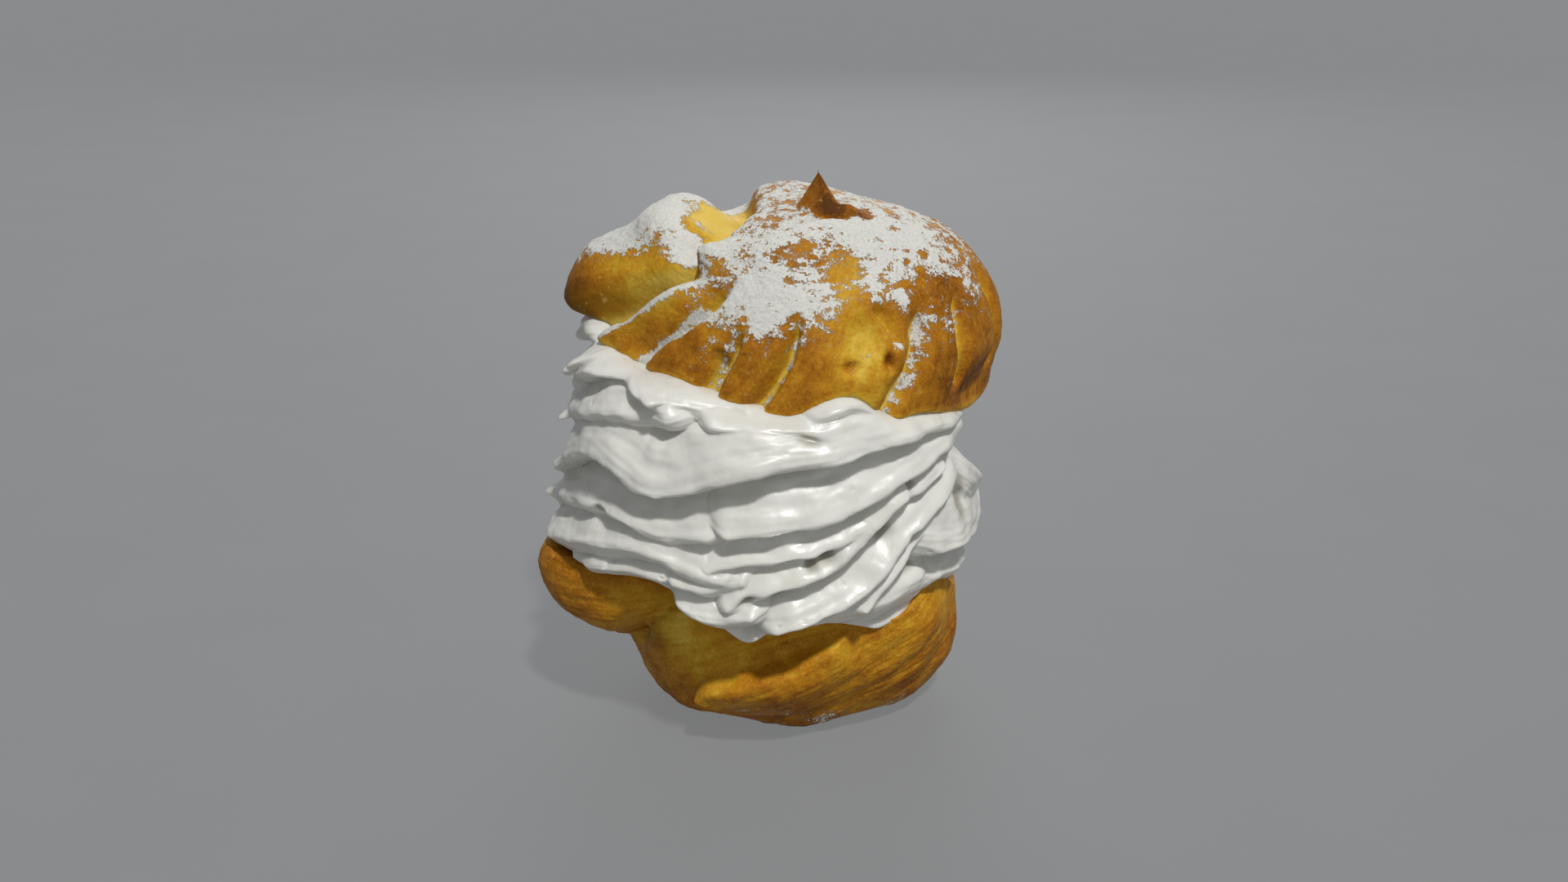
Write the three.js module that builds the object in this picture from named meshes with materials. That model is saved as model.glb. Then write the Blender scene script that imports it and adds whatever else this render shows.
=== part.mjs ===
// A cream puff: a choux bun cut across, filled with a thick band of piped whipped cream.
// Three solids stacked on one axis: the choux base, the whipped cream that runs through the
// middle, and the choux cap with its piped nub, star ribs and a lobe folded out to the left.
// Units are millimetres, +Z is up, -Y is the front. An azimuth of 0 is the front and +90 is
// the right (+X). The origin is the middle of the footprint of the whole, on the table.
import * as THREE from "three";

// ---- overall sizes ----
const CAP_TOP = 26.0; // height of the dome over the cap's centre
const CAP_RADIUS = 37.0;
const BASE_RADIUS = 32.7;
const BASE_DEPTH = 25.9; // how far the bowl would reach below its centre if it stood on no table
const CREAM_RADIUS = 34.7; // mean radius of the cream between its folds
const CREAM_LEAN = 1.5; // how much further the cream stands out at the front
const SEAM = 0.15; // half of the gap left between two solids at a seam
const SLACK = 1.0; // extra room on each side of a seam, out of sight inside it
const LIP_TOP = 4.5; // height over which the cream rounds in under the cap
const LIP_BOTTOM = 3.0;
const CREAM_FLOOR = -2.0; // how deep the cream goes between folds
const CREST = 0.3; // rounding of a fold's crest, as a share of its width
const FOLD_BLEND = 0.9; // rounding where two folds meet
const OVERHANG = 0.1; // how far a fold leans down over the one below, for each mm it stands out
const BALL = 40.0; // radius of the ball that creases and lumps are laid out on
const FOLD_STRETCH = 0.663; // mm along the cream's side per degree of azimuth

const CAP_CENTRE = [8.5, -10.0, 70.0]; // under the nub
const DOME_OFFSET = [-2.5, 11.0]; // the dome's own middle, seen from the cap's centre
const BASE_CENTRE = [3.0, 0.0, 24.0];
const CREAM_AXIS = [-1.0, 0.0];
const FOOTPRINT_MIDDLE = [-0.17, -1.92]; // moved to the origin at the end

// ---- mesh resolution ----
const CAP_COLUMNS = 86;
const CAP_ROWS = 25;
const CREAM_COLUMNS = 110;
const CREAM_ROWS = 28;
const BASE_COLUMNS = 66;
const BASE_ROWS = 14;
const SEAM_RINGS = [0.88, 0.45]; // share of the way out from the axis

// ---- seams: height of the edge at each azimuth ----
const CAP_SEAM = {
  axis: [3.0, 0.0],
  radius: 36.0,
  middle: 70.0,
  edge: [
    [-180, 72], [-140, 74], [-105, 76], [-78, 76], [-61, 73], [-44, 71], [-30, 70.3],
    [-21, 68.6], [-13, 67.6], [0, 66], [11, 69], [18, 69.4], [28, 64.8], [39, 64.8],
    [55, 62.2], [70, 60.5], [95, 61.5], [135, 67],
  ],
};
const BASE_SEAM = {
  axis: [-1.0, 0.0],
  radius: 37.0,
  middle: 22.0,
  edge: [
    [-180, 27], [-130, 29], [-88, 34], [-66, 33.2], [-52, 33], [-38, 35], [-26, 34],
    [-18, 30.3], [-10, 28.4], [-3, 27], [5, 28.8], [16, 29], [32, 26], [44, 26], [54, 31],
    [64, 28], [83, 21.5], [120, 22],
  ],
};

// ---- lumps: [azimuth, polar angle, height, half-width round, half-width down, squareness] ----
const CAP_LUMPS = [
  [-163, 38, 3.2, 15, 15, 2.2], // the raised back
  [105, 45, 0.8, 18, 16, 2],
  [-106, 75, 8.9, 15, 9.5, 3.2], // folded-out lobe, its lower hump
  [-108, 48.5, 6.2, 12.5, 8.6, 3.6], // folded-out lobe, its upper hump
  [-102, 40, -2.6, 6, 4.5, 2], // bare hollow on top of it
  [100, 18, 0.6, 10, 9, 2],
  [-84, 84, 3, 8, 6, 2], // tip of the flap in front of the lobe
  [80, 100, -3.5, 16, 7, 2], // the right side drawn in above its rim
  [19, 68, -1.8, 7, 6.5, 2.2], // bare hollow
  [-86, 74, -4.2, 7.5, 5.5, 2], // dark hollow under the lobe
  [14, 45, -1.2, 6, 4.5, 2], // bare patch above it
  [-100, 62, 0.9, 9, 3, 2],
  [-104, 41, -1.6, 5, 4, 2],
  [-57, 45, 1.8, 5, 4, 2.4],
];
const BASE_LUMPS = [
  [-82, 84, 11.2, 21, 13, 2.6], // lobe on the left
  [-60, 84, 4.4, 14, 10, 5], // its shoulder over the bowl
  [-65, 130, 1.8, 14, 8, 2.5], // foot below the lobe
  [60, 130, 2.2, 12, 7, 2.5], // foot at the right
  [78, 116, 2.8, 18, 9, 2],
  [-8, 94, -3.2, 17, 7.5, 2.4], // hollow above the rolled foot
  [-89, 80, 2.2, 10, 4.5, 2], // tip of the lobe
  [46, 93, 2.4, 13, 9, 2],
  [8, 133, 1.5, 14, 7, 2], // foot at the front
  [-38, 122, 1.5, 8, 6, 2], // blunt end of the rolled foot
];

// ---- creases and ridges: line of [azimuth, polar angle], height, widths, fades at the ends ----
const CAP_CREASES = [
  { line: [[-160, 62], [-144, 48], [-124, 36], [-102, 32], [-86, 36], [-75, 44], [-68, 53]],
    height: -8, left: 4.4, right: 4.6, fadeIn: 0.4, fadeOut: 0.12 }, // lobe from dome
  { line: [[-66, 50], [-68, 56], [-72, 62], [-78, 68], [-84, 76], [-92, 88]],
    height: -6, left: 4.4, right: 3.2, fadeIn: 0.1, fadeOut: 0 }, // lobe from flap
  { line: [[-52, 52], [-60, 62], [-67, 69], [-74, 76], [-83, 84]],
    height: 2.2, left: 2.6, right: 4, fadeIn: 0.35, fadeOut: 0 }, // edge of the flap
  { line: [[-71, 91], [-59, 77], [-53, 72], [-44, 61], [-38, 50]],
    height: -2.8, left: 2.6, right: 1.6, fadeIn: 0.2, fadeOut: 0.3 },
  { line: [[-42, 91], [-38, 81], [-37, 74]],
    height: -1.5, left: 1.8, right: 1.5, fadeIn: 0, fadeOut: 0.4 },
  { line: [[-40, 96], [-36, 84], [-32, 76], [-30, 66]],
    height: -2.3, left: 2.2, right: 1.5, fadeIn: 0, fadeOut: 0.3 },
  { line: [[-24, 97], [-18, 89], [-12, 78], [-9, 67], [-8, 58]],
    height: -2.5, left: 2.4, right: 1.5, fadeIn: 0, fadeOut: 0.3 },
  { line: [[26, 102], [32, 91], [38, 82], [43, 69], [45, 58]],
    height: -2.8, left: 3.4, right: 1.8, fadeIn: 0, fadeOut: 0.25 },
  { line: [[64, 92], [64, 79], [65, 71], [68, 58]],
    height: -1.6, left: 2.6, right: 1.5, fadeIn: 0, fadeOut: 0.3 },
  { line: [[93, 92], [92, 77], [93, 60]],
    height: -1.5, left: 2.8, right: 1.5, fadeIn: 0, fadeOut: 0.3 },
  { line: [[-62, 54], [-56, 46], [-46, 40], [-33, 35], [-20, 29], [-5, 23], [12, 22], [30, 25],
            [46, 30], [58, 38]],
    height: 2, left: 1.2, right: 7, fadeIn: 0.1, fadeOut: 0.3 }, // step across the top
  { line: [[30, 4], [60, 11], [60, 18]],
    height: 1.3, left: 2, right: 2.2, fadeIn: 0.1, fadeOut: 0.4 }, // crest beside the nub
  { line: [[22, 57], [28, 63], [31, 70], [31, 76]],
    height: -1.5, left: 2.6, right: 1, fadeIn: 0.3, fadeOut: 0.2 }, // steep side of the bare hollow
];
const BACK_RIBS = [125, 155, 185, 215]; // azimuths of the plain star ribs round the back
for (const azimuth of BACK_RIBS) {
  CAP_CREASES.push({
    line: [[azimuth, 92], [azimuth - 2, 77], [azimuth - 7, 57]],
    height: -1.7, left: 3, right: 2, fadeIn: 0, fadeOut: 0.3,
  });
}
const BASE_CREASES = [
  { line: [[-31, 74], [-38, 80], [-44, 86.5], [-52, 94], [-60, 101.5], [-72, 110], [-84, 115]],
    height: -5.6, left: 3.4, right: 1.3, fadeIn: 0, fadeOut: 0.35 }, // lobe from bowl
  { line: [[-31, 115], [-25, 109], [-12, 105], [0, 101], [12, 94], [24, 86]],
    height: 3.8, left: 0.8, right: 8, fadeIn: 0.06, fadeOut: 0.25 }, // upper edge of the rolled foot
  { line: [[-20, 128], [10, 121], [38, 108], [62, 92]],
    height: -0.5, left: 1.4, right: 2.4, fadeIn: 0.2, fadeOut: 0.2 },
  { line: [[5, 113], [28, 103], [46, 90]],
    height: -0.35, left: 1.2, right: 2, fadeIn: 0.2, fadeOut: 0.2 },
  { line: [[40, 122], [62, 108], [80, 92]],
    height: -0.5, left: 1.4, right: 2.4, fadeIn: 0.2, fadeOut: 0.2 },
];
const NUB_HEIGHT = 6.6;
const NUB_WIDTH = 9.2; // degrees, out to where it has run into the dome

// ---- folds of the cream: crest line of [azimuth, height], how far it stands out, and how
// wide it is above and below the crest ----
const FOLDS = [
  { line: [[-81, 47.5], [-69, 51], [-60, 54.4], [-48, 57.2], [-40, 56.8], [-31, 54.6], [-22, 54.4],
    [-13, 56.8], [-3, 59.2], [10, 60], [24, 61.4], [41, 62], [75, 60.5]], out: 6, up: 8.5, down: 3.4 },
  { line: [[-68, 66], [-59, 68.6], [-49, 71.4], [-41, 71.8], [-34, 70.2], [-28, 68.8]],
    out: 4.6, up: 4, down: 3 },
  { line: [[-36, 71], [-23, 69.6], [-4, 67.2]], out: 3.2, up: 5, down: 4.5 },
  { line: [[14, 67], [23, 68], [31, 66]], out: 3.8, up: 4.5, down: 5 },
  { line: [[-12, 65.6], [10, 64.6], [22, 63.4], [49, 62]], out: 3.8, up: 4.5, down: 3.5 },
  { line: [[-73, 59.7], [-60, 61.5], [-42, 64.8], [-24, 65.6]], out: 4.4, up: 4.5, down: 4.2 },
  { line: [[-66, 68.5], [-57, 72], [-50, 75]], out: 4.8, up: 3.6, down: 4 },
  { line: [[-70, 78], [-56, 77], [-47, 78]], out: 4.5, up: 4, down: 3 },
  { line: [[-8, 47.6], [0, 48.2], [11, 49], [22, 51.2], [31, 53.3], [41, 55.4], [54, 57.2], [66, 58.4]],
    out: 5.6, up: 7, down: 2.8 },
  { line: [[-84, 41], [-70, 43.6], [-57, 45.6], [-39, 46.8], [-25, 45.2], [-14, 46]],
    out: 4.4, up: 7, down: 4 },
  { line: [[-82, 33.8], [-58, 38.6], [-44, 41], [-31, 42], [-20, 40.2], [-10, 38.6]],
    out: 5, up: 5, down: 5 },
  { line: [[-17, 39.2], [-9, 41.2], [3, 42.2], [14, 43.6], [24, 45.4], [36, 50], [50, 54]],
    out: 4.4, up: 4.2, down: 3.2 },
  { line: [[-22, 36.8], [-14, 36.4], [-5, 38]], out: 4.4, up: 4, down: 3.5 },
  { line: [[-8, 33.6], [2, 37], [13, 39.6], [20, 41.8], [28, 46.2], [36, 50], [52, 54]],
    out: 5.1, up: 4.2, down: 3 },
  { line: [[-22, 31.8], [-12, 31], [-3, 31.6]], out: 4.8, up: 4.5, down: 3.5 },
  { line: [[4, 29], [14, 31.8], [23, 34.4], [31, 38], [38, 43.2], [47, 47.4], [60, 51]],
    out: 5.4, up: 5, down: 3 },
  { line: [[26, 31.5], [35, 37], [45, 43]], out: 4.2, up: 3.4, down: 3.4 },
  { line: [[50, 39], [62, 38], [76, 37.4], [85, 39], [87, 41.4], [84, 44], [77, 47.2], [69, 51]],
    out: 6.1, up: 15, down: 3 }, // the fan at the right
  { line: [[20, 30.4], [37, 31.8], [46, 32.4]], out: 2.8, up: 5, down: 4.5 },
  { line: [[54, 31.4], [63, 30.8], [72, 30.5]], out: 4.2, up: 4.5, down: 4 },
  { line: [[-44, 35], [-36, 36.5], [-26, 37]], out: 3.8, up: 4, down: 3 },
  { line: [[-58, 34.8], [-50, 35.2], [-44, 36]], out: 3.8, up: 4, down: 2.5 },
  { line: [[84, 37], [104, 33], [126, 29.5]], out: 3.6, up: 4.5, down: 4 },
  { line: [[278, 47.5], [250, 44.5], [222, 40.5], [196, 35.5], [172, 31]], out: 4.8, up: 7, down: 4.4 },
  { line: [[287, 59.7], [258, 57], [230, 53.5], [200, 47], [172, 42], [145, 37.5], [118, 33.5], [96, 31]],
    out: 5.2, up: 7, down: 4.4 },
  { line: [[292, 66], [262, 65], [236, 61.5], [208, 57.5], [180, 51.5], [152, 47.5], [124, 43],
    [100, 38.5]], out: 4.6, up: 6, down: 4.2 },
  { line: [[290, 78], [268, 73], [240, 69], [212, 65], [186, 60], [158, 57.5], [132, 52.6], [112, 49]],
    out: 5, up: 7, down: 4.6 },
  { line: [[232, 74], [204, 71.5], [178, 67], [150, 65.5], [126, 61], [106, 58]],
    out: 4.4, up: 6, down: 4.4 },
  { line: [[160, 71.5], [136, 68], [112, 64.5], [92, 62], [72, 61]], out: 4.2, up: 5, down: 4.4 },
  { line: [[277, 41], [252, 37.5], [230, 33.5], [208, 30]], out: 4.6, up: 5, down: 4 },
  { line: [[279, 33.8], [262, 32], [246, 30]], out: 4.6, up: 4.5, down: 4 },
  { line: [[150, 30], [175, 28.5], [200, 29]], out: 4, up: 4, down: 4 },
];

// ---- small helpers ----
const RAD = Math.PI / 180;
const clamp01 = (x) => Math.min(1, Math.max(0, x));
const smooth = (x) => clamp01(x) ** 2 * (3 - 2 * clamp01(x));
const wrap = (azimuth) => ((((azimuth + 180) % 360) + 360) % 360) - 180;
const minus = (a, b) => [a[0] - b[0], a[1] - b[1], a[2] - b[2]];
const dot = (a, b) => a[0] * b[0] + a[1] * b[1] + a[2] * b[2];
const cross = (a, b) => [
  a[1] * b[2] - a[2] * b[1],
  a[2] * b[0] - a[0] * b[2],
  a[0] * b[1] - a[1] * b[0],
];
const times = (a, k) => [a[0] * k, a[1] * k, a[2] * k];

function direction(azimuth, polar) {
  const s = Math.sin(polar * RAD);
  return [s * Math.sin(azimuth * RAD), -s * Math.cos(azimuth * RAD), Math.cos(polar * RAD)];
}

// The larger of two values, with the corner between them rounded.
function softMax(a, b, round) {
  const h = clamp01(0.5 + (0.5 * (a - b)) / round);
  return b + (a - b) * h + round * h * (1 - h);
}

// A smooth curve through a few control points, as short straight pieces.
function curve(points, pieces = 5) {
  const out = [];
  for (let i = 0; i < points.length - 1; i++) {
    const [p0, p1] = [points[Math.max(i - 1, 0)], points[i]];
    const [p2, p3] = [points[i + 1], points[Math.min(i + 2, points.length - 1)]];
    for (let k = 0; k < pieces; k++) {
      const t = k / pieces;
      out.push(p1.map((v, n) => 0.5 * (2 * v + (p2[n] - p0[n]) * t
        + (2 * p0[n] - 5 * v + 4 * p2[n] - p3[n]) * t * t
        + (3 * v - p0[n] - 3 * p2[n] + p3[n]) * t ** 3)));
    }
  }
  out.push(points[points.length - 1]);
  return out;
}

// Distance from a point to a line, the side it is on (-1 to 1) and how far along (0 to 1).
function nearest(point, outward, line) {
  let best = { distance: Infinity, side: 0, along: 0 };
  let walked = 0;
  for (let i = 0; i < line.length - 1; i++) {
    const step = minus(line[i + 1], line[i]);
    const length = Math.sqrt(dot(step, step));
    const offset = minus(point, line[i]);
    const t = clamp01(dot(offset, step) / (length * length));
    const away = minus(offset, times(step, t));
    const distance = Math.sqrt(dot(away, away));
    if (distance < best.distance) {
      const left = times(cross(outward, step), 1 / length);
      best = { distance, side: dot(away, left) / Math.max(distance, 1e-6), along: walked + t * length };
    }
    walked += length;
  }
  best.along /= walked;
  return best;
}

// Height of the closed curve through a table of [azimuth, height].
function roundTable(table, azimuth) {
  const n = table.length;
  const at = (i) => {
    const turn = Math.floor(i / n);
    const [a, v] = table[i - turn * n];
    return [a + 360 * turn, v];
  };
  let a = azimuth < table[0][0] ? azimuth + 360 : azimuth;
  let i = n - 1;
  while (i > 0 && table[i][0] > a) {
    i--;
  }
  const [[a0, v0], [a1, v1], [a2, v2], [a3, v3]] = [at(i - 1), at(i), at(i + 1), at(i + 2)];
  const h = a2 - a1;
  const t = (a - a1) / h;
  const m1 = ((v2 - v0) / (a2 - a0)) * h;
  const m2 = ((v3 - v1) / (a3 - a1)) * h;
  return v1 * (2 * t ** 3 - 3 * t * t + 1) + m1 * (t ** 3 - 2 * t * t + t)
    + v2 * (3 * t * t - 2 * t ** 3) + m2 * (t ** 3 - t * t);
}

function seamHeight(seam, x, y) {
  const dx = x - seam.axis[0];
  const dy = y - seam.axis[1];
  const reach = Math.min(Math.hypot(dx, dy) / seam.radius, 1);
  const edge = roundTable(seam.edge, Math.atan2(dx, -dy) / RAD);
  return seam.middle + (edge - seam.middle) * reach;
}

function lumpHeight(unit, lumps) {
  let sum = 0;
  for (const [azimuth, polar, height, round, down, square] of lumps) {
    const centre = direction(azimuth, polar);
    const east = direction(azimuth + 90, 90);
    const south = cross(east, centre);
    const cosine = Math.min(1, Math.max(-1, dot(unit, centre)));
    const off = minus(unit, times(centre, cosine));
    const size = Math.max(Math.sqrt(dot(off, off)), 1e-9);
    const arc = Math.acos(cosine) * BALL;
    const u = ((dot(off, east) / size) * arc) / round;
    const v = ((dot(off, south) / size) * arc) / down;
    sum += height * Math.exp(-((u * u + v * v) ** (square / 2)));
  }
  return sum;
}

const withBallLine = (crease) => ({
  ...crease,
  path: curve(crease.line).map(([a, p]) => times(direction(a, p), BALL)),
});

function creaseHeight(unit, creases) {
  let sum = 0;
  for (const crease of creases) {
    const { distance, side, along } = nearest(times(unit, BALL), unit, crease.path);
    const width = crease.right + (crease.left - crease.right) * (0.5 + 0.5 * side);
    const fadeIn = crease.fadeIn > 0 ? smooth(along / crease.fadeIn) : 1;
    const fadeOut = crease.fadeOut > 0 ? smooth((1 - along) / crease.fadeOut) : 1;
    sum += crease.height * fadeIn * fadeOut * Math.exp(-((distance / width) ** 2));
  }
  return sum;
}

// ---- the surface of each solid, as a distance from its centre or axis ----
const capCreases = CAP_CREASES.map(withBallLine);
const baseCreases = BASE_CREASES.map(withBallLine);

function capSurface(azimuth, polar) {
  const unit = direction(azimuth, polar);
  const s = Math.sin(azimuth * RAD);
  const c = -Math.cos(azimuth * RAD);
  const ahead = DOME_OFFSET[0] * s + DOME_OFFSET[1] * c;
  const aside = DOME_OFFSET[0] * c - DOME_OFFSET[1] * s;
  const flat = ahead + Math.sqrt(CAP_RADIUS ** 2 - aside ** 2);
  const wide = Math.hypot(unit[0], unit[1]) / flat;
  const dome = (wide ** 2.1 + (Math.abs(unit[2]) / CAP_TOP) ** 2.1) ** (-1 / 2.1);
  const nub = NUB_HEIGHT * (1 - clamp01(polar / NUB_WIDTH)) ** 1.5;
  const distance = dome + lumpHeight(unit, CAP_LUMPS) + creaseHeight(unit, capCreases) + nub;
  return unit.map((v, i) => CAP_CENTRE[i] + v * distance);
}

function baseSurface(azimuth, polar) {
  const unit = direction(azimuth, polar);
  const wide = Math.hypot(unit[0], unit[1]) / BASE_RADIUS;
  const bowl = (wide ** 2.6 + (Math.abs(unit[2]) / BASE_DEPTH) ** 2.6) ** (-1 / 2.6);
  const distance = bowl + lumpHeight(unit, BASE_LUMPS) + creaseHeight(unit, baseCreases);
  return unit.map((v, i) => BASE_CENTRE[i] + v * distance);
}

const folds = FOLDS.map((fold) => {
  const path = curve(fold.line).map(([a, z]) => [a * FOLD_STRETCH, 0, z]);
  const azimuths = path.map((p) => p[0] / FOLD_STRETCH);
  return { ...fold, path, middle: 0.5 * (Math.min(...azimuths) + Math.max(...azimuths)) };
});

// How far the folds stand out at a place on the cream's side.
function foldHeight(azimuth, z, top, bottom) {
  let out = CREAM_FLOOR;
  for (const fold of folds) {
    const x = (wrap(azimuth - fold.middle) + fold.middle) * FOLD_STRETCH;
    const { distance, side } = nearest([x, 0, z], [0, -1, 0], fold.path);
    const u = distance / (fold.down + (fold.up - fold.down) * (0.5 + 0.5 * side));
    const v = Math.hypot(u, CREST) - CREST;
    const slope = 1 - v ** 1.3; // a long face above the crest
    const under = Math.sqrt(Math.max(1 - v, 0)); // a full edge below it
    const shape = v < 1 ? under + (slope - under) * smooth(0.5 + 0.5 * side) : -(v - 1) * 1.5;
    out = softMax(out, fold.out * shape, FOLD_BLEND);
  }
  out = softMax(out, 1.8 - 1.1 * (z - bottom), 0.8); // it fills up to both crusts
  return softMax(out, 1.6 - 1.1 * (top - z), 0.8);
}

function creamSide(azimuth, z, top, bottom) {
  const out = foldHeight(azimuth, z, top, bottom);
  const left = Math.exp(-((wrap(azimuth + 92) / 34) ** 2));
  const leftFoot = 2.8 * Math.exp(-((wrap(azimuth + 85) / 32) ** 2)) * smooth((46 - z) / 12);
  const leftWaist = left * (3.4 * smooth((z - 43) / 9) + 2.4 * smooth((z - 62) / 6));
  const rightWaist = 4.6 * Math.exp(-((wrap(azimuth - 94) / 30) ** 2)) * smooth((z - 46) / 8);
  const mean = CREAM_RADIUS + CREAM_LEAN * Math.cos(azimuth * RAD);
  const shoulder = 3.2 + 4.6 * Math.exp(-((wrap(azimuth + 52) / 34) ** 2))
    + 2.2 * Math.exp(-((wrap(azimuth + 14) / 18) ** 2));
  const high = clamp01((top - z) / LIP_TOP);
  const low = clamp01((z - bottom) / LIP_BOTTOM);
  const radius = mean + leftFoot - leftWaist - rightWaist + out
    - shoulder * (1 - Math.sqrt(1 - (1 - high) ** 2))
    - 2.0 * (1 - Math.sqrt(1 - (1 - low) ** 2));
  const inside = clamp01((z - bottom) / (top - bottom));
  const lean = OVERHANG * (4.2 - out) * Math.sin(Math.PI * inside) ** 0.7;
  return [
    CREAM_AXIS[0] + radius * Math.sin(azimuth * RAD),
    CREAM_AXIS[1] - radius * Math.cos(azimuth * RAD),
    z + lean,
  ];
}

// ---- meshing: rings of points from the top centre to the bottom centre, with each four-
// sided patch split along its shorter diagonal ----
const apart = (a, b) => Math.hypot(...minus(a, b));

function closedRings(first, rings, last) {
  const columns = rings[0].length;
  const positions = [first, ...rings.flat(), last];
  const index = [];
  for (let j = 0; j < columns; j++) {
    const k = (j + 1) % columns;
    index.push(0, 1 + j, 1 + k);
    for (let i = 0; i < rings.length - 1; i++) {
      const [a, b] = [1 + i * columns + j, 1 + (i + 1) * columns + j];
      const [c, d] = [1 + (i + 1) * columns + k, 1 + i * columns + k];
      if (apart(positions[a], positions[c]) < apart(positions[b], positions[d])) {
        index.push(a, b, c, a, c, d);
      } else {
        index.push(a, b, d, b, c, d);
      }
    }
    const end = 1 + (rings.length - 1) * columns;
    index.push(positions.length - 1, end + k, end + j);
  }
  const geometry = new THREE.BufferGeometry();
  geometry.setAttribute("position", new THREE.Float32BufferAttribute(positions.flat(), 3));
  geometry.setIndex(index);
  geometry.translate(-FOOTPRINT_MIDDLE[0], -FOOTPRINT_MIDDLE[1], 0);
  geometry.computeVertexNormals();
  return geometry;
}

const azimuthsOf = (columns) => Array.from({ length: columns }, (_, j) => -180 + (j * 360) / columns);

// Halves an interval until it closes on the place where a falling function reaches zero.
function crossing(low, high, value) {
  for (let i = 0; i < 30; i++) {
    const middle = 0.5 * (low + high);
    if (value(middle) > 0) {
      low = middle;
    } else {
      high = middle;
    }
  }
  return 0.5 * (low + high);
}

// Rings running in from an edge along a seam to the axis, and the point they close on.
function seamRings(edge, axis, seam, lift, slack) {
  const inner = (x, y) => [x, y, seamHeight(seam, x, y) + lift + slack];
  const rings = SEAM_RINGS.map((share) => edge.map(([x, y]) => inner(
    axis[0] + (x - axis[0]) * share,
    axis[1] + (y - axis[1]) * share,
  )));
  return { rings, centre: inner(axis[0], axis[1]) };
}

function capGeometry() {
  const azimuths = azimuthsOf(CAP_COLUMNS);
  const rims = azimuths.map((azimuth) => crossing(62, 125, (polar) => {
    const [x, y, z] = capSurface(azimuth, polar);
    return z - seamHeight(CAP_SEAM, x, y) - SEAM;
  }));
  const rings = [];
  for (let i = 1; i <= CAP_ROWS; i++) {
    const t = i / CAP_ROWS;
    const share = 0.3 * t + 0.7 * t ** 1.4;
    rings.push(azimuths.map((azimuth, j) => capSurface(azimuth, rims[j] * share)));
  }
  const under = seamRings(rings[rings.length - 1], CAP_CENTRE, CAP_SEAM, SEAM, SLACK);
  return closedRings(capSurface(0, 0), [...rings, ...under.rings], under.centre);
}

function baseGeometry() {
  const azimuths = azimuthsOf(BASE_COLUMNS);
  const spans = azimuths.map((azimuth) => {
    const top = crossing(55, 125, (polar) => {
      const [x, y, z] = baseSurface(azimuth, polar);
      return z - seamHeight(BASE_SEAM, x, y) + SEAM;
    });
    return [top, crossing(top + 5, 175, (polar) => baseSurface(azimuth, polar)[2])];
  });
  const rings = [];
  for (let i = 0; i < BASE_ROWS; i++) {
    const t = i / (BASE_ROWS - 1);
    rings.push(azimuths.map((azimuth, j) => {
      const [top, bottom] = spans[j];
      return baseSurface(azimuth, top + (bottom - top) * t);
    }));
  }
  const foot = rings[BASE_ROWS - 1].map(([x, y]) => [x, y, 0]);
  rings[BASE_ROWS - 1] = foot;
  const over = seamRings(rings[0], BASE_CENTRE, BASE_SEAM, -SEAM, -SLACK);
  const heel = foot.map(([x, y]) => [0.5 * (x + BASE_CENTRE[0]), 0.5 * (y + BASE_CENTRE[1]), 0]);
  return closedRings(
    over.centre,
    [...over.rings.reverse(), ...rings, heel],
    [BASE_CENTRE[0], BASE_CENTRE[1], 0],
  );
}

function creamGeometry() {
  const azimuths = azimuthsOf(CREAM_COLUMNS);
  const spans = azimuths.map((azimuth) => {
    let [top, bottom] = [68, 30];
    for (let i = 0; i < 12; i++) {
      const [tx, ty] = creamSide(azimuth, top, top, bottom);
      top = seamHeight(CAP_SEAM, tx, ty) - SEAM;
      const [bx, by] = creamSide(azimuth, bottom, top, bottom);
      bottom = seamHeight(BASE_SEAM, bx, by) + SEAM;
    }
    return [top, bottom];
  });
  const rings = [];
  for (let i = 0; i < CREAM_ROWS; i++) {
    const t = i / (CREAM_ROWS - 1);
    const share = t - (0.35 * Math.sin(2 * Math.PI * t)) / (2 * Math.PI); // closer rows at the lips
    rings.push(azimuths.map((azimuth, j) => {
      const [top, bottom] = spans[j];
      return creamSide(azimuth, top + (bottom - top) * share, top, bottom);
    }));
  }
  const over = seamRings(rings[0], CREAM_AXIS, CAP_SEAM, -SEAM, -SLACK);
  const under = seamRings(rings[CREAM_ROWS - 1], CREAM_AXIS, BASE_SEAM, SEAM, SLACK);
  return closedRings(over.centre, [...over.rings.reverse(), ...rings, ...under.rings], under.centre);
}

function solid(name, geometry, colour, roughness) {
  const material = new THREE.MeshStandardMaterial({ color: colour, roughness, metalness: 0 });
  material.name = name;
  const mesh = new THREE.Mesh(geometry, material);
  mesh.name = name;
  return mesh;
}

const creamPuff = new THREE.Group();
creamPuff.name = "cream_puff";
creamPuff.add(
  solid("choux_base", baseGeometry(), 0xb9822f, 0.6),
  solid("whipped_cream", creamGeometry(), 0xf1eee4, 0.4),
  solid("choux_cap", capGeometry(), 0xb5732a, 0.55),
);

export default creamPuff;
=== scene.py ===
"""A cream puff: two halves of a choux bun round a thick band of whipped cream, with powdered sugar.

The crusts have one radius for each direction from a named centre, the cream one for each azimuth
and height. All three follow the CAD's surfaces with finer relief, and meet at two shared seams.
Lengths are in millimetres and angles in degrees: azimuth 0 is the front (-Y), azimuth 90 the right
(+X), and polar angle 0 straight up.
"""
import math
from types import SimpleNamespace as Amounts

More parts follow.
